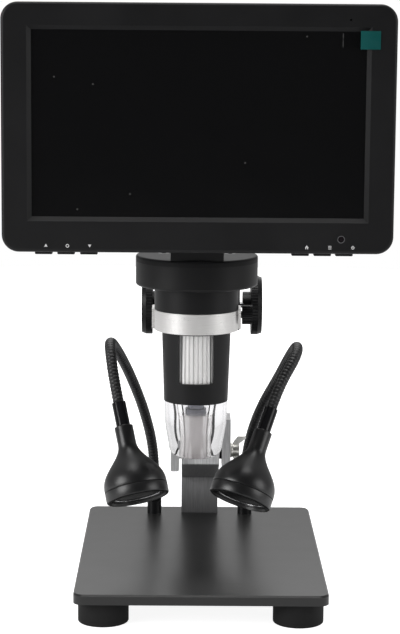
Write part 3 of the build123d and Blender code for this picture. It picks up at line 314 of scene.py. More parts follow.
def ribbedAluminium(name):
    # bright ribs with grooves painted dark between them as shade, told apart by their distance from the wheel's
    # axis
    # groove is painted shade in the grooves, shallow a lighter painted shade that some grooves get
    look = {"groove": tint(70, 70, 71), "shallow": tint(226, 225, 224), "rib": tint(238, 237, 236),
            "bright": tint(254, 253, 252), "depth": 0.48, "roughness": 0.42}
    finish = Finish(name, Metallic=0.45)
    low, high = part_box("focus_wheel")
    radius = (high.x - low.x) / 2
    out = distance(*finish.offAxis(middleOf("focus_wheel")))
    crest = finish.step(out, radius - look["depth"] * mm, radius - 0.4 * look["depth"] * mm)
    rub = finish.noise(0.0012, 2, (1, 1, 0.02))
    lighterGrooveShare = finish.step(finish.noise(0.0025, 1, (1, 1, 0.02), (0.2, 0.5, 0)), 0.36, 0.54)
    # painted shade in the grooves, lighter in some of them
    groove = finish.blend(lighterGrooveShare, look["groove"], look["shallow"])
    finish.put(Base_Color=finish.blend(crest, groove, finish.blend(rub, look["rib"], look["bright"])),
               Roughness=look["roughness"] - 0.14 * crest + 0.1 * (rub - 0.5))
    return finish.material


def clearPlastic(name):
    # clear, with painted shade darkening its grazing edges and the lip of its bore; the bore is lightly frosted,
    # so that it spreads the light
    # edge is the painted shade at grazing edges and at the bore's lip
    look = {"color": (0.89, 0.885, 0.895, 1), "haze": 0.02, "edge": (0.26, 0.26, 0.27, 1),
            "edgeFrom": 0.62, "edgeTo": 0.96, "frosted": tint(238, 233, 232), "frost": 0.46,
            "frostTop": 24.0, "frostFade": 4.0, "boreReach": 7.2, "lip": 0.7}
    finish = Finish(name, Transmission_Weight=1.0, IOR=1.45)
    up = finish.axis("Z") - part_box("snoot")[0].z
    bore = distance(*finish.offAxis(middleOf("snoot"))) < look["boreReach"] * mm
    # the lower lip of the bore, painted dark as shade
    lip = bore * (up < look["lip"] * mm)
    grazing = finish.node("ShaderNodeLayerWeight", {}, {"Blend": 0.5}, "Facing")
    # painted shade along the grazing edges, where clear plastic bends the light away
    edge = finish.step(grazing, look["edgeFrom"], look["edgeTo"])
    cloud = finish.noise(0.006, 2)
    paintedEdgeShade = finish.work("MAXIMUM", edge, lip)
    finish.put(Base_Color=finish.blend(paintedEdgeShade, look["color"], look["edge"]),
               Roughness=look["haze"] * cloud)
    fade = finish.step(up, look["frostTop"] * mm, (look["frostTop"] - look["frostFade"]) * mm)
    frost = finish.node("ShaderNodeBsdfDiffuse", {}, {"Color": look["frosted"], "Roughness": 0.5})
    finish.mix(bore * (1 - lip) * fade * (look["frost"] + 0.1 * (cloud - 0.5)), frost)
    return finish.material


def brushedBar(name):
    # brushed along its bend, brighter at the nose as painted light and duller down at the heel as painted shade
    # low is painted shade down at the heel, high the steel higher up, nose a painted light on the nose
    look = {"low": tint(92, 92, 93), "high": tint(150, 150, 151), "nose": tint(236, 236, 237),
            "streak": tint(60, 60, 61), "streakShare": 0.28, "line": 0.00022, "broad": 0.0007,
            "heelDepth": 4.0, "heelShadeRise": 22.0, "noseDepth": 5.0, "noseRound": 1.0, "roughness": 0.44,
            "depth": 0.00002}
    finish = Finish(name, Metallic=0.35)
    low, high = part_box("foot_bar")
    fine = finish.noise(look["line"], 3, (1, 0.04, 0.04))
    broad = finish.noise(look["broad"], 2, (1, 0.05, 0.05), (0.4, 0, 0.2))
    # painted shade at the heel, fading out as the bar rises
    heelShadeRise = finish.step(finish.axis("Z"), low.z - look["heelDepth"] * mm, low.z + look["heelShadeRise"] * mm)
    # painted light on the nose, towards its front
    nose = finish.step(finish.axis("Y"), low.y + look["noseDepth"] * mm, low.y + look["noseRound"] * mm)
    litAndShadedSteel = finish.blend(nose, finish.blend(heelShadeRise, look["low"], look["high"]), look["nose"])
    streak = look["streakShare"] * finish.step(0.6 * fine + 0.4 * broad, 0.58, 0.38)
    finish.put(Base_Color=finish.blend(streak, litAndShadedSteel, look["streak"]),
               Roughness=look["roughness"] + 0.14 * (fine - 0.5))
    finish.bump(fine, look["depth"])
    return finish.material


def greenBoard(name):
    # solder mask over a square net of traces
    look = {"mask": tint(18, 84, 52), "trace": tint(34, 116, 72), "pitch": 0.0016, "depth": 0.00003}
    finish = Finish(name)
    cells = finish.node("ShaderNodeTexVoronoi", {"feature": "DISTANCE_TO_EDGE", "distance": "CHEBYCHEV"},
                        {"Vector": finish.here, "Scale": 1 / look["pitch"]})
    lines = finish.step(cells, 0.06, 0.10)
    finish.put(Base_Color=finish.blend(lines, look["trace"], look["mask"]), Roughness=0.30 + 0.15 * lines)
    finish.bump(1 - lines, look["depth"])
    return finish.material


def ledBoard(name):
    # white solder mask with eight yellow chips in a circle about the optical axis
    look = {"mask": tint(226, 225, 218), "chip": tint(240, 214, 96), "chips": 8, "chipRadius": 1.0,
            "circle": 9.4}
    finish = Finish(name)
    x, y = finish.offAxis(middleOf("led_ring"))
    turn = finish.work("PINGPONG", finish.work("ARCTAN2", y, x), math.pi / look["chips"])
    circle = look["circle"] * mm
    chip = distance(turn * circle, distance(x, y) - circle) < look["chipRadius"] * mm
    cloud = finish.noise(0.004, 2)
    finish.put(Base_Color=finish.blend(chip, look["mask"], look["chip"]),
               Roughness=0.4 - 0.2 * chip + 0.1 * cloud)
    return finish.material


def ribbedSleeve(name):
    # black rubber, rubbed paler on some of its ribs
    look = {"color": tint(27, 27, 28), "crest": tint(52, 52, 54), "rubShare": 0.4, "roughness": 0.42,
            "grain": 0.0005, "depth": 0.00001}
    finish = Finish(name)
    grain = finish.noise(look["grain"], 3)
    cloud = finish.noise(0.02, 2)
    rub = finish.step(finish.noise(0.003, 2), 0.5, 0.75)
    finish.put(Base_Color=finish.blend(look["rubShare"] * rub, look["color"], look["crest"]),
               Roughness=look["roughness"] + 0.15 * (cloud - 0.5) + 0.1 * (grain - 0.5))
    finish.bump(grain, look["depth"])
    return finish.material


def batteryFoil(name):
    # creased aluminium pouch
    look = {"color": tint(176, 177, 180), "seam": tint(140, 141, 144), "crease": 0.004, "depth": 0.0001}
    finish = Finish(name, Metallic=0.8)
    crease = finish.noise(look["crease"], 3, (1, 1, 0.5))
    finish.put(Base_Color=finish.blend(crease, look["seam"], look["color"]), Roughness=0.28 + 0.15 * crease)
    finish.bump(crease, look["depth"])
    return finish.material


def tealFilm(name):
    # stiff teal film, paler towards its left edge
    look = {"color": tint(0, 68, 66), "pale": tint(14, 84, 82), "edgeShare": 0.45, "plain": 1.2,
            "depth": 0.00008}
    finish = Finish(name, Specular_IOR_Level=0.25)
    cloud = finish.noise(0.003, 2)
    low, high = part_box("film_tab")
    edge = finish.step(finish.axis("X"), high.x - look["plain"] * mm, low.x)
    finish.put(Base_Color=finish.blend(look["edgeShare"] * edge + 0.25 * cloud, look["color"], look["pale"]),
               Roughness=0.34 + 0.15 * cloud)
    finish.bump(cloud, look["depth"])
    return finish.material


printLooks = {"whitePrint": tint(222, 222, 222), "greyPrint": tint(92, 92, 94)}


def printedMark(name, color):
    finish = Finish(name)
    grain = finish.noise(0.0003, 2)
    faded = (color[0] * 0.8, color[1] * 0.8, color[2] * 0.8, 1)
    finish.put(Base_Color=finish.blend(grain, color, faded), Roughness=0.45 + 0.1 * grain)
    return finish.material


finishes = {}
for maker, looks in ((mouldedPlastic, blackLooks), (brushedMetal, brushedLooks), (turnedMetal, turnedLooks),
                     (coatedGlass, glassLooks), (printedMark, printLooks)):
    for name, look in looks.items():
        finishes[name] = maker(name, look)
for maker in (satinPlate, ribbedAluminium, clearPlastic, brushedBar, greenBoard, ledBoard, ribbedSleeve,
              batteryFoil, tealFilm):
    finishes[maker.__name__] = maker(maker.__name__)

finishOfSlot = {   # what the pieces of each slot wear, but for those in finishOfNode
    "black_plate": "satinPlate", "foot_rubber": "footRubber", "dark_screw": "blackScrew",
    "black_anodised": "blackAnodised", "washer_black": "nylonBlack", "rack_steel": "brightSteel",
    "screw_chrome": "nickelPlate", "bush_brass": "bushBrass", "ring_silver": "brushedRing",
    "head_black": "headPlastic", "lens_black": "lensAnodised", "lens_glass": "coatedLens",
    "board_green": "greenBoard", "led_white": "ledBoard", "clear_plastic": "clearPlastic",
    "case_black": "casePlastic", "receiver_dark": "receiverWindow", "screen_glass": "screenGlass",
    "panel_dark": "panelGlass", "film_teal": "tealFilm", "battery_silver": "batteryFoil",
    "socket_steel": "socketSteel", "gooseneck_black": "ribbedSleeve", "lamp_black": "lampPaint",
    "lamp_lens_clear": "shadedLampLens", "brushed_bar": "brushedBar",
}
finishOfNode = {"fork": "brushedCheek", "focus_wheel": "ribbedAluminium", "head_lid": "lidPlastic"}

for part in frame["record"]["subparts"]:
    finishName = finishOfNode.get(part["node"], finishOfSlot[part["material_slot"]])
    nodes[part["node"]].data.materials.clear()
    nodes[part["node"]].data.materials.append(finishes[finishName])
print("stage: finishes")


def clearSelection():
    bpy.ops.object.select_all(action="DESELECT")


def pick(piece):
    clearSelection()
    piece.select_set(True)
    bpy.context.view_layer.objects.active = piece


def editAll():
    bpy.ops.object.mode_set(mode="EDIT")
    bpy.ops.mesh.select_all(action="SELECT")


def closeUp(merge=0.000001):
    # merges doubles and turns the faces outwards
    editAll()
    bpy.ops.mesh.remove_doubles(threshold=merge)
    bpy.ops.mesh.normals_make_consistent(inside=False)
    bpy.ops.object.mode_set(mode="OBJECT")


def applyPlace():
    bpy.ops.object.transform_apply(location=True, rotation=True, scale=True)


def modify(piece, kind, **settings):
    # adds a modifier and applies it
    pick(piece)
    modifier = piece.modifiers.new(kind.lower(), kind)
    for key, value in settings.items():
        setattr(modifier, key, value)
    bpy.ops.object.modifier_apply(modifier=modifier.name)


def thicken(piece, thickness):
    # makes a flat outline thickness millimetres thick, half of it to each side
    modify(piece, "SOLIDIFY", thickness=thickness * mm, offset=0)


def soften(piece, width, segments=2):
    # rounds the sharp edges width millimetres wide and smooths what is left
    pick(piece)
    if width:
        modify(piece, "BEVEL", width=width * mm, segments=segments, limit_method="ANGLE",
               angle_limit=math.radians(30))
    bpy.ops.object.shade_smooth_by_angle(angle=math.radians(40))


def turned(name, profile, sides=64, capped=True):
    # a lathe part about Z: a circle, extruded up or down and resized through (radius, height) in millimetres
    clearSelection()
    radius, height = profile[0]
    bpy.ops.mesh.primitive_circle_add(vertices=sides, radius=radius * mm, location=(0, 0, height * mm),
                                      fill_type="NGON" if capped else "NOTHING")
    piece = bpy.context.object
    piece.name = name
    applyPlace()
    editAll()
    for (lastRadius, lastHeight), (radius, height) in zip(profile, profile[1:]):
        bpy.ops.mesh.extrude_region_move(
            TRANSFORM_OT_translate={"value": (0, 0, (height - lastHeight) * mm)})
        grow = radius / lastRadius
        bpy.ops.transform.resize(value=(grow, grow, 1), center_override=(0, 0, height * mm))
    bpy.ops.object.mode_set(mode="OBJECT")
    closeUp()
    return piece


def tube(name, profile, sides, x, y):
    # a lathe part whose profile runs back to its start, stood on the upright line through x and y
    piece = turned(name, profile + profile[:1], sides, capped=False)
    piece.location = (x, y, 0)
    applyPlace()
    soften(piece, 0)
    return piece


def joinPieces(pieces):
    pick(pieces[0])
    for piece in pieces[1:]:
        piece.select_set(True)
    bpy.ops.object.join()
    return pieces[0]


def finishPiece(piece, body, material, replaced=()):
    # without a material the piece keeps what it wears
    if material:
        piece.data.materials.clear()
        piece.data.materials.append(material)
    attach(piece, body)
    if replaced:
        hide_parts(*replaced)


# the lamps' axes are read from the frame: the collar's top and the middle of the mouth
lampTops = {joint["child"]: Vector(joint["pos_m"])
            for joint in frame["joints"] if "lamp_aim" in joint["name"]}
lampEnds = {side: (lampTops["lamp_head_" + side], middleOf("lamp_rim_" + side))
            for side in ("left", "right")}

lampShape = {   # radii, and how far down the axis from the collar's top
    "collar": 12.3, "collarRadius": 3.5, "collarStep": 0.35, "neckEnd": 22.0, "neckRadius": 4.65,
    "bellEnd": 44.5, "bellRadius": 15.75, "bellSteps": 16, "flare": 1.9, "mouth": 50.0, "wall": 1.6,
    "seat": 2.2, "seatRadius": 3.1, "seam": 0.12, "ledge": 0.9, "ledgeIn": 1.1,
    "lensFront": 47.7, "lensRadius": 12.2, "lensBack": 1.2, "dome": 1.1,
}


def bellProfile():
    # from the seat in the collar's top, over the outside, down to the seam
    shape = lampShape
    start, radius, end = shape["neckEnd"], shape["neckRadius"], shape["bellEnd"] - shape["seam"]
    points = [(shape["seatRadius"], -shape["seat"]), (shape["seatRadius"], 0), (shape["collarRadius"], 0),
              (shape["collarRadius"], -shape["collar"]), (radius, -shape["collar"] - shape["collarStep"]),
              (radius, -start)]
    for i in range(1, shape["bellSteps"] + 1):
        t = i / shape["bellSteps"]
        swell = 1 - (1 - t ** shape["flare"]) ** 3
        points.append((radius + (shape["bellRadius"] - radius) * swell, -start - (end - start) * t))
    return points + [(shape["bellRadius"] - shape["wall"], -end)]


def mouthProfile():
    # the front ring: outside, mouth edge, and a stepped inside that holds the lens
    shape = lampShape
    outer, inner = shape["bellRadius"], shape["bellRadius"] - shape["wall"]
    top, mouth, lens = -shape["bellEnd"] - shape["seam"], -shape["mouth"], -shape["lensFront"]
    ledge, hold = inner - shape["ledgeIn"], shape["lensRadius"] - 0.1
    return [(inner, top), (outer, top), (outer, mouth + 0.9), (outer - 0.25, mouth + 0.3),
            (outer - 0.8, mouth), (inner, mouth), (inner - 0.15, lens - shape["ledge"]),
            (ledge, lens - shape["ledge"]), (ledge, lens), (hold, lens + 0.2), (hold, top), (inner, top)]


def lampPiece(name, side, profile, rounding, material, replaced=(), capped=True, sides=72):
    # a lathe part that hangs on the lamp's own axis
    piece = turned(name + "_" + side, profile, sides, capped)
    soften(piece, rounding)
    top, rim = lampEnds[side]
    piece.rotation_mode = "QUATERNION"
    piece.rotation_quaternion = (rim - top).to_track_quat("-Z", "Y")
    piece.location = top
    pick(piece)
    applyPlace()
    finishPiece(piece, "lamp_head_" + side, material, replaced)
    return piece


def makeLampHead(side):
    paint, shape = finishes["lampPaint"], lampShape
    bell = lampPiece("bell", side, bellProfile(), 0.3, paint, ["lamp_shade_" + side])
    bell.data.materials.append(finishes["collarGloss"])
    top, rim = lampEnds[side]
    along = (rim - top).normalized()
    for face in bell.data.polygons:   # the collar is a glossy sleeve, the rest is satin paint
        if (face.center - top).dot(along) < shape["collar"] * mm:
            face.material_index = 1
    lampPiece("mouth_ring", side, mouthProfile(), 0.12, paint,
              ["lamp_rim_" + side], capped=False)

    radius, front = shape["lensRadius"], -shape["lensFront"]
    dome = [(radius * math.cos(a), front - shape["dome"] * math.sin(a))
            for a in (math.radians(degrees) for degrees in range(0, 90, 10))]
    # the lens is painted dark as the shade inside the mouth
    lampPiece("lens_disc", side, [(radius, front + shape["lensBack"])] + dome, 0, finishes["shadedLampLens"],
              ["lamp_lens_" + side], sides=64)
    wire = [(radius + 0.2, front), (radius + 0.6, front),
            (radius + 0.5, front - 0.3), (radius + 0.3, front - 0.3)]
    lampPiece("lens_ring", side, wire + wire[:1], 0, finishes["socketSteel"],
              capped=False)


neckShape = {"radius": 2.8, "groove": 2.52, "shoulder": 0.06, "pitch": 1.9, "sides": 20,
             "lastRun": 12.0, "tuck": 1.5, "ferruleRadius": 3.9, "ferruleBottom": 24.3,
             "ferruleTop": 32.0, "ferruleGroove": 0.5}
neckPaths = {
    "left": [(-22, 73.5, 32), (-22, 73.5, 42), (-23.4, 68.2, 59), (-27.2, 58.6, 76.5), (-31.6, 48.5, 91.3),
             (-37.2, 34, 107.5), (-42.2, 18, 120), (-44.2, 3, 124.8), (-43.3, -10.5, 121)],
    "right": [(28, 73.5, 32), (28, 73.5, 42), (29.6, 68.5, 57), (32.9, 59.5, 72), (37.5, 51, 85),
              (44.2, 38.5, 100), (50, 22, 116), (52.6, 7, 123), (51.2, -8, 119.5)],
}


def makeGooseneck(side):
    # one rib, repeated in a row that follows the arm's path up into the collar
    shape = neckShape
    top, rim = lampEnds[side]
    along = (rim - top).normalized() * mm
    points = [at(*point) for point in neckPaths[side]]
    points += [top - along * shape["lastRun"], top + along * shape["tuck"]]
    route = bpy.data.curves.new("route_" + side, "CURVE")
    route.dimensions = "3D"
    spline = route.splines.new("NURBS")
    spline.points.add(len(points) - 1)
    for knot, point in zip(spline.points, points):
        knot.co = (*point, 1)
    spline.order_u = 3
    spline.use_endpoint_u = True
    spline.resolution_u = 16
    guide = bpy.data.objects.new("guide_" + side, route)
    bpy.context.scene.collection.objects.link(guide)
    line = bpy.data.meshes.new_from_object(guide)
    spots = [vertex.co for vertex in line.vertices]
    length = sum((b - a).length for a, b in zip(spots, spots[1:]))

    count = round(length / (shape["pitch"] * mm))
    pitch = length / count / mm
    crest, shoulder, groove = shape["radius"], shape["radius"] - shape["shoulder"], shape["groove"]
    rib = turned("gooseneck_" + side + "_ribs",
                 [(groove, 0), (shoulder, 0.18 * pitch), (crest, 0.42 * pitch), (crest, 0.58 * pitch),
                  (shoulder, 0.82 * pitch), (groove, pitch)], shape["sides"], capped=False)
    modify(rib, "ARRAY", count=count, use_relative_offset=False, use_constant_offset=True,
           constant_offset_displace=(0, 0, pitch * mm), use_merge_vertices=True, merge_threshold=0.00002)
    modify(rib, "CURVE", object=guide, deform_axis="POS_Z")
    bpy.data.objects.remove(guide)
    bpy.data.meshes.remove(line)
    closeUp(0.00001)
    soften(rib, 0)

    radius, low, high = shape["ferruleRadius"], shape["ferruleBottom"], shape["ferruleTop"]
    inner = radius - shape["ferruleGroove"]
    ferrule = turned("ferrule_" + side, [(radius, low), (radius, high - 2.2), (inner, high - 1.9),
                                         (inner, high - 1.4), (radius, high - 1.1), (radius, high)], 48)
    ferrule.location = (points[0].x, points[0].y, 0)
    applyPlace()
    soften(ferrule, 0.3)
    finishPiece(ferrule, "lamp_arm_" + side, finishes["blackAnodised"])
    finishPiece(rib, "lamp_arm_" + side, finishes["ribbedSleeve"], ["gooseneck_" + side])


for side in ("left", "right"):
    makeLampHead(side)
    makeGooseneck(side)
print("stage: lamps")


snootShape = {   # radii, heights over its lower end (Up) and distances in from its outside (In)
    "foot": 9.0, "lip": 0.8, "mouth": 5.5, "waist": 5.2, "waistUp": 11.9, "throat": 6.5, "throatUp": 27.3,
    "roundIn": 2.2, "roundUp": 5.8, "bellyIn": 0.4, "bellyUp": 16.8, "rimUp": 28.3, "spigotIn": 2.4,
    "recessIn": 3.1, "recessUp": 27.9, "sides": 160,
}


def curveThrough(knots, steps):
    # a smooth line through (radius, height) knots, with the heights as given
    slopes = []
    for i in range(len(knots)):
        first, last = knots[max(i - 1, 0)], knots[min(i + 1, len(knots) - 1)]
        slopes.append((last[0] - first[0]) / (last[1] - first[1]))
    points = []
    for i in range(len(knots) - 1):
        (r0, z0), (r1, z1) = knots[i], knots[i + 1]
        span = z1 - z0
        for t in (j / steps for j in range(steps)):
            radius = ((2 * t ** 3 - 3 * t * t + 1) * r0 + (t ** 3 - 2 * t * t + t) * span * slopes[i]
                      + (3 * t * t - 2 * t ** 3) * r1 + (t ** 3 - t * t) * span * slopes[i + 1])
            points.append((radius, z0 + t * span))
    return points + [knots[-1]]


def makeSnoot():
    # up the outside, over the spigot that holds it, and down the bore to the lip
    shape = snootShape
    low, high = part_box("snoot")
    bottom, top = low.z / mm, high.z / mm
    radius = (high.x - low.x) / 2 / mm
    rim, shoulder, lip = bottom + shape["rimUp"], radius - shape["roundIn"], shape["lip"]
    spigot, recess = radius - shape["spigotIn"], radius - shape["recessIn"]
    corner = [(shoulder - (shoulder - shape["foot"]) * (1 - math.sin(a)),
               bottom + shape["roundUp"] * (1 - math.cos(a)))
              for a in (math.radians(15 * i) for i in range(7))]
    wall = curveThrough([corner[-1], (radius - shape["bellyIn"], bottom + shape["bellyUp"]),
                         (radius, rim)], 10)
    bore = curveThrough([(shape["mouth"], bottom + lip), (shape["waist"], bottom + shape["waistUp"]),
                         (shape["throat"], bottom + shape["throatUp"])], 12)
    edge = [(shape["mouth"] + lip * (1 - math.cos(a)), bottom + lip * (1 - math.sin(a)))
            for a in (math.radians(18 * i) for i in range(1, 6))]
    profile = (corner + wall[1:] + [(spigot, rim), (spigot, top), (recess, top),
                                    (recess, bottom + shape["recessUp"])] + bore[::-1] + edge)
    middle = middleOf("snoot")
    snoot = tube("clear_snoot", profile, shape["sides"], middle.x, middle.y)
    finishPiece(snoot, "head", finishes["clearPlastic"], ["snoot"])


hoodShape = {"radius": 5.3, "bore": 4.0, "lip": 0.35, "stand": 0.05,
             "length": 3.4}   # a longer one would meet the ring of LEDs as the lens moves up


def makeHood():
    # the wide front ring of the lens barrel, seen through the snoot
    shape = hoodShape
    radius, bore, lip = shape["radius"], shape["bore"], shape["lip"]
    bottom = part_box("lens_barrel")[0].z / mm - shape["stand"]
    top = bottom + shape["length"]
    profile = [(bore, bottom), (radius - lip, bottom), (radius, bottom + lip), (radius, top), (bore, top)]
    middle = middleOf("lens_barrel")
    hood = tube("lens_hood", profile, 64, middle.x, middle.y)
    finishPiece(hood, "lens", finishes["lensAnodised"])


makeSnoot()
makeHood()
print("stage: snoot")


markShape = {
    "places": {"up": (-70.4, 184.1), "down": (-50.1, 184.3), "ok": (-60.4, 184.1),
               "home": (50.7, 184.1), "menu": (61.4, 184.1), "power": (72.1, 184.1)},
    "size": 0.8, "line": 0.36, "thick": 0.06, "windowRadius": 1.75, "windowLine": 0.3, "windowThick": 0.12,
}


def flatShape(sides, radius, turn=0, stretch=(1, 1)):
    # a filled outline that stands upright and faces the front
    clearSelection()
    bpy.ops.mesh.primitive_circle_add(vertices=sides, radius=radius * mm, fill_type="NGON",
                                      rotation=(math.pi / 2, math.radians(turn), 0))
    piece = bpy.context.object
    applyPlace()
    piece.scale = (stretch[0], 1, stretch[1])
    applyPlace()
    return piece


def ringShape(radius, line, sides=32):
    piece = flatShape(sides, radius)
    editAll()
    bpy.ops.mesh.inset(thickness=line * mm)
    bpy.ops.mesh.delete(type="FACE")
    bpy.ops.object.mode_set(mode="OBJECT")
    return piece


def moved(piece, x, z):
    pick(piece)
    piece.location = (x * mm, 0, z * mm)
    applyPlace()
    return piece


def bar(x, z, width, height):
    # a filled oblong, measured in sizes of a mark
    size = markShape["size"]
    square = flatShape(4, 0.5 * math.sqrt(2), 45, (width * size, height * size))
    return moved(square, x * size, z * size)


def printOn(piece, name, x, z, thick, material):
    # gives a flat outline its thin body and lays it on the monitor's face
    thicken(piece, thick)
    piece.location = (x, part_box("bezel")[0].y, z)
    applyPlace()
    closeUp()
    piece.name = name
    finishPiece(piece, "monitor", material)


def makeMarks():
    size, line = markShape["size"], markShape["line"]
    marks = {
        "up": flatShape(3, 1.15 * size),
        "down": flatShape(3, 1.15 * size, 180),
        "ok": ringShape(1.05 * size, line),
        "home": joinPieces([moved(flatShape(3, 1.15 * size, 0, (1.1, 0.8)), 0, 0.35 * size),
                            bar(-0.52, -0.6, 0.5, 0.9), bar(0.52, -0.6, 0.5, 0.9)]),
        "menu": joinPieces([bar(0, z, 1.9, 0.36) for z in (-0.8, 0, 0.8)]),
        "power": joinPieces([ringShape(0.95 * size, 0.9 * line), bar(0, 0.55, 0.4, 1.2)]),
    }
    for key, (x, z) in markShape["places"].items():
        printOn(marks[key], "mark_" + key, x * mm, z * mm, markShape["thick"], finishes["whitePrint"])
    middle = middleOf("receiver_window")
    ring = ringShape(markShape["windowRadius"], markShape["windowLine"], 48)
    printOn(ring, "window_ring", middle.x, middle.z, markShape["windowThick"], finishes["greyPrint"])


makeMarks()
print("stage: marks")


def clearStrip(strip):
    # invisible on the dark glass but for its two side edges, painted pale as a highlight
    look = {"color": tint(12, 12, 13), "edge": tint(66, 66, 66), "line": 0.45}
    finish = Finish("clearStrip", Roughness=0.15, Specular_IOR_Level=0.3)
    spots = [vertex.co.x for vertex in strip.data.vertices]
    middle, half = (min(spots) + max(spots)) / 2, (max(spots) - min(spots)) / 2
    # painted highlight along the strip's two cut edges, broken up by noise
    edge = abs(finish.axis("X") - middle) > half - look["line"] * mm
    brokenHighlight = finish.step(finish.noise(0.002, 1), 0.42, 0.55)
    finish.put(Base_Color=finish.blend(edge * brokenHighlight, look["color"], look["edge"]))
    return finish.material


filmShape = {"thick": 0.22, "curl": 0.5, "edgeLift": 0.35, "cornerLift": 0.5, "wave": 0.05, "rest": 0.05,
             "stripWidth": 9.0, "stripHeight": 6.6, "stripThick": 0.05, "stripGap": 0.06,
             "stripUnder": 0.9, "stripDrop": 0.3}


def uprightGrid(name, columns, rows, width, height, place):
    # a flat net of faces that stands upright and faces the front
    clearSelection()
    bpy.ops.mesh.primitive_grid_add(x_subdivisions=columns, y_subdivisions=rows, size=1,
                                    rotation=(math.pi / 2, 0, 0))
    piece = bpy.context.object
    piece.name = name
    applyPlace()
    piece.scale = (width, 1, height)
    piece.location = place
    applyPlace()
    return piece


def makeFilm():
    shape = filmShape
    low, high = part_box("film_tab")
    middle = (low + high) / 2
    wide, tall = high.x - low.x, high.z - low.z
    tab = uprightGrid("film_pull_tab", 24, 20, wide, tall, (middle.x, low.y, middle.z))
    for vertex in tab.data.vertices:   # the left edge and the top right corner lift a little
        across, up = (vertex.co.x - low.x) / wide, (vertex.co.z - low.z) / tall
        lift = shape["edgeLift"] * (1 - across) ** 3 + shape["cornerLift"] * max(0, across + up - 1.5) ** 2
        wave = shape["wave"] * math.sin(9 * up + 4 * across)
        vertex.co.y = low.y - (shape["curl"] * lift + wave - shape["rest"]) * mm
    thicken(tab, shape["thick"])
    soften(tab, 0)
    finishPiece(tab, "monitor", finishes["tealFilm"], ["film_tab"])

    x = low.x - (shape["stripWidth"] / 2 - shape["stripUnder"]) * mm
    strip = uprightGrid("film_strip", 12, 8, shape["stripWidth"] * mm, shape["stripHeight"] * mm,
                        (x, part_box("cover_glass")[0].y - shape["stripGap"] * mm,
                         middle.z - shape["stripDrop"] * mm))
    thicken(strip, shape["stripThick"])
    soften(strip, 0)
    finishPiece(strip, "monitor", clearStrip(strip))


makeFilm()
print("stage: film")


wingShape = {
    "bore": 2.0, "hubRadius": 3.6, "hubLength": 4.8, "collar": 0.2, "taper": 0.25,
    "thick": 2.2, "root": 1.6, "rootUp": 2.9, "rootFrom": 0.30,
    "steps": ((1.2, 1.3, 1.35), (1.6, 1.7, 1.12), (0.3, 0.9, 0.7)),   # along, outwards, times as wide
}


def makeWing(side, back, middle):
    # a block on the hub, its outer face extruded outwards and forwards
    shape = wingShape
    start, end = back + shape["rootFrom"] * shape["hubLength"] * mm, back + shape["hubLength"] * mm
    x = (start + end) / 2
    clearSelection()
    bpy.ops.mesh.primitive_cube_add(size=1)
    wing = bpy.context.object
    wing.scale = (end - start, shape["thick"] * mm, shape["root"] * mm)
    wing.location = (x, middle.y, middle.z + side * shape["rootUp"] * mm)
    applyPlace()
    bpy.ops.object.mode_set(mode="EDIT")
    bpy.ops.mesh.select_all(action="DESELECT")
    bpy.ops.object.mode_set(mode="OBJECT")
    for face in wing.data.polygons:
        face.select = face.normal.z * side > 0.9
    bpy.ops.object.mode_set(mode="EDIT")
    for along, outwards, grow in shape["steps"]:
        bpy.ops.mesh.extrude_region_move(
            TRANSFORM_OT_translate={"value": (along * mm, 0, side * outwards * mm)})
        x += along * mm
        bpy.ops.transform.resize(value=(grow, 1, 1), center_override=(x, middle.y, middle.z))
    bpy.ops.object.mode_set(mode="OBJECT")
    closeUp()
    soften(wing, 0.45, 3)
    # the wings wear the lighter nickel, painted brighter than the hub as reflection
    wing.data.materials.append(finishes["wingNickelLit"])
    return wing


def makeWingNut():
    shape = wingShape
    low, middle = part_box("wing_nut")[0], middleOf("wing_nut")
    bore, radius, length = shape["bore"], shape["hubRadius"], shape["hubLength"]
    collar = radius + shape["collar"]
    hub = turned("hub", [(bore, 0), (collar, 0), (collar, 0.9), (radius, 1.1),
                         (radius - shape["taper"], length), (bore, length)], 40, capped=False)
    hub.rotation_euler = (0, math.pi / 2, 0)
    hub.location = (low.x, middle.y, middle.z)
    applyPlace()
    soften(hub, 0.25)
    hub.data.materials.append(finishes["nickelPlate"])
    wings = [makeWing(side, low.x, middle) for side in (-1, 1)]
    nut = joinPieces([hub] + wings)
    nut.name = "wing_nut_rounded"
    finishPiece(nut, "tilt_screw", None, ["wing_nut"])


makeWingNut()
print("stage: wing nut")


cameraView = {"place": (-5.0, -1009.3, 290.9), "down": 8.613, "right": 0.396, "roll": 0.454,
              "focal": 2000.0, "imageHeight": 634}


def makeCamera():
    look = cameraView
    data = bpy.data.cameras.new("camera")
    data.sensor_fit = "AUTO"
    data.sensor_width = 36
    data.lens = look["focal"] / look["imageHeight"] * data.sensor_width
    camera = bpy.data.objects.new("camera", data)
    bpy.context.scene.collection.objects.link(camera)
    aim = Euler((math.radians(90 - look["down"]), 0, math.radians(-look["right"]))).to_matrix()
    roll = Matrix.Rotation(math.radians(look["roll"]), 3, "Z")
    camera.matrix_world = (aim @ roll).to_4x4()
    camera.location = at(*look["place"])
    bpy.context.scene.camera = camera


lightPlan = {   # place, aim, size and power of the soft lights
    "key": ((-0.95, -0.60, 0.50), (0, 0, 0.12), 0.6, 8.5),
    "lighterGrooveShare": ((1.0, -0.45, 0.45), (0, 0, 0.12), 0.6, 3.6),
    "top": ((0.0, -0.05, 1.25), (0, 0, 0.1), 0.8, 7.0),
    "back": ((0.0, 1.1, 0.9), (0, 0, 0.15), 1.0, 4.0),
}


def makeLights():
    for name, (place, aim, size, power) in lightPlan.items():
        data = bpy.data.lights.new(name, "AREA")
        data.shape, data.size, data.energy = "SQUARE", size, power
        light = bpy.data.objects.new(name, data)
        bpy.context.scene.collection.objects.link(light)
        light.visible_transmission = False   # not seen through the clear plastic
        light.location = place
        light.rotation_euler = (Vector(aim) - Vector(place)).to_track_quat("-Z", "Y").to_euler()


worldPlan = {"ambient": 0.30, "backLight": 0.36, "frontLight": 0.04, "fade": 0.35, "through": 0.86}


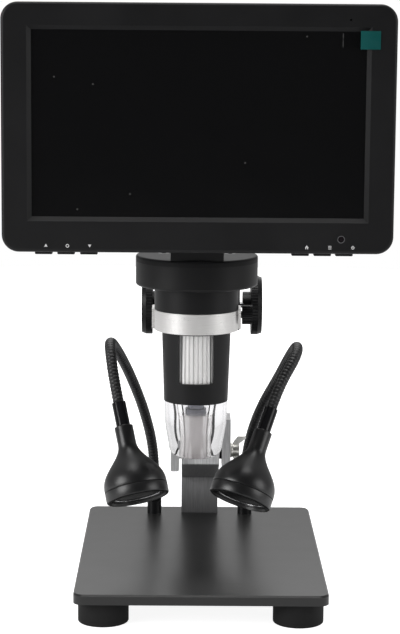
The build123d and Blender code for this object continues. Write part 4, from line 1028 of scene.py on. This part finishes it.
def makeWorld():
    # white to the eye, a little less seen through clear plastic, and a brighter back than front in mirrors
    plan = worldPlan
    world = bpy.data.worlds.new("studio")
    bpy.context.scene.world = world
    world.use_nodes = True
    net = Net(world.node_tree)
    net.tree.nodes.clear()
    place = net.node("ShaderNodeTexCoord", output="Generated")
    depth = net.node("ShaderNodeSeparateXYZ", {}, {0: place}, "Y")
    back = net.node("ShaderNodeMapRange", {},
                    {"Value": depth, "From Min": -plan["fade"], "From Max": plan["fade"],
                     "To Min": plan["frontLight"], "To Max": plan["backLight"]})
    level = plan["ambient"]
    for kind, other in (("Glossy", back), ("Transmission", plan["through"]), ("Camera", 1.0)):
        level = net.node("ShaderNodeMix", {}, {0: net.rays(kind), 2: level, 3: other})
    sky = net.node("ShaderNodeBackground", {}, {"Color": (1, 1, 1, 1), "Strength": level})
    net.node("ShaderNodeOutputWorld", {}, {0: sky})


floorPlan = {"radius": 1.3, "gray": 0.62, "near": 0.20, "far": 0.55, "glow": 0.90, "farGlow": 1.1,
             "through": 0.22, "mirror": 0.30}


def makeFloor():
    # glows white to the eye, and less so in mirrors and through clear plastic
    plan = floorPlan
    clearSelection()
    bpy.ops.mesh.primitive_circle_add(vertices=96, radius=plan["radius"], fill_type="NGON")
    floor = bpy.context.object
    floor.name = "floor"
    finish = Finish("paleFloor", Roughness=0.9, Specular_IOR_Level=0.0, Emission_Strength=1.0)
    gray, dim = plan["gray"], plan["gray"] * 0.98
    cloud = finish.noise(0.2, 2)
    away = finish.step(distance(finish.axis("X"), finish.axis("Y")), plan["near"], plan["far"])
    white = plan["glow"] + (plan["farGlow"] - plan["glow"]) * away
    glow = (white * finish.rays("Camera") + plan["through"] * finish.rays("Transmission")
            + plan["mirror"] * finish.rays("Glossy"))
    finish.put(Base_Color=finish.blend(cloud, (gray, gray, gray, 1), (dim, dim, gray, 1)),
               Emission_Color=finish.node("ShaderNodeCombineColor", {}, {0: glow, 1: glow, 2: glow}))
    floor.data.materials.append(finish.material)


makeCamera()
makeLights()
makeWorld()
makeFloor()
bpy.context.scene.view_settings.view_transform = "Standard"
print("stage: studio")
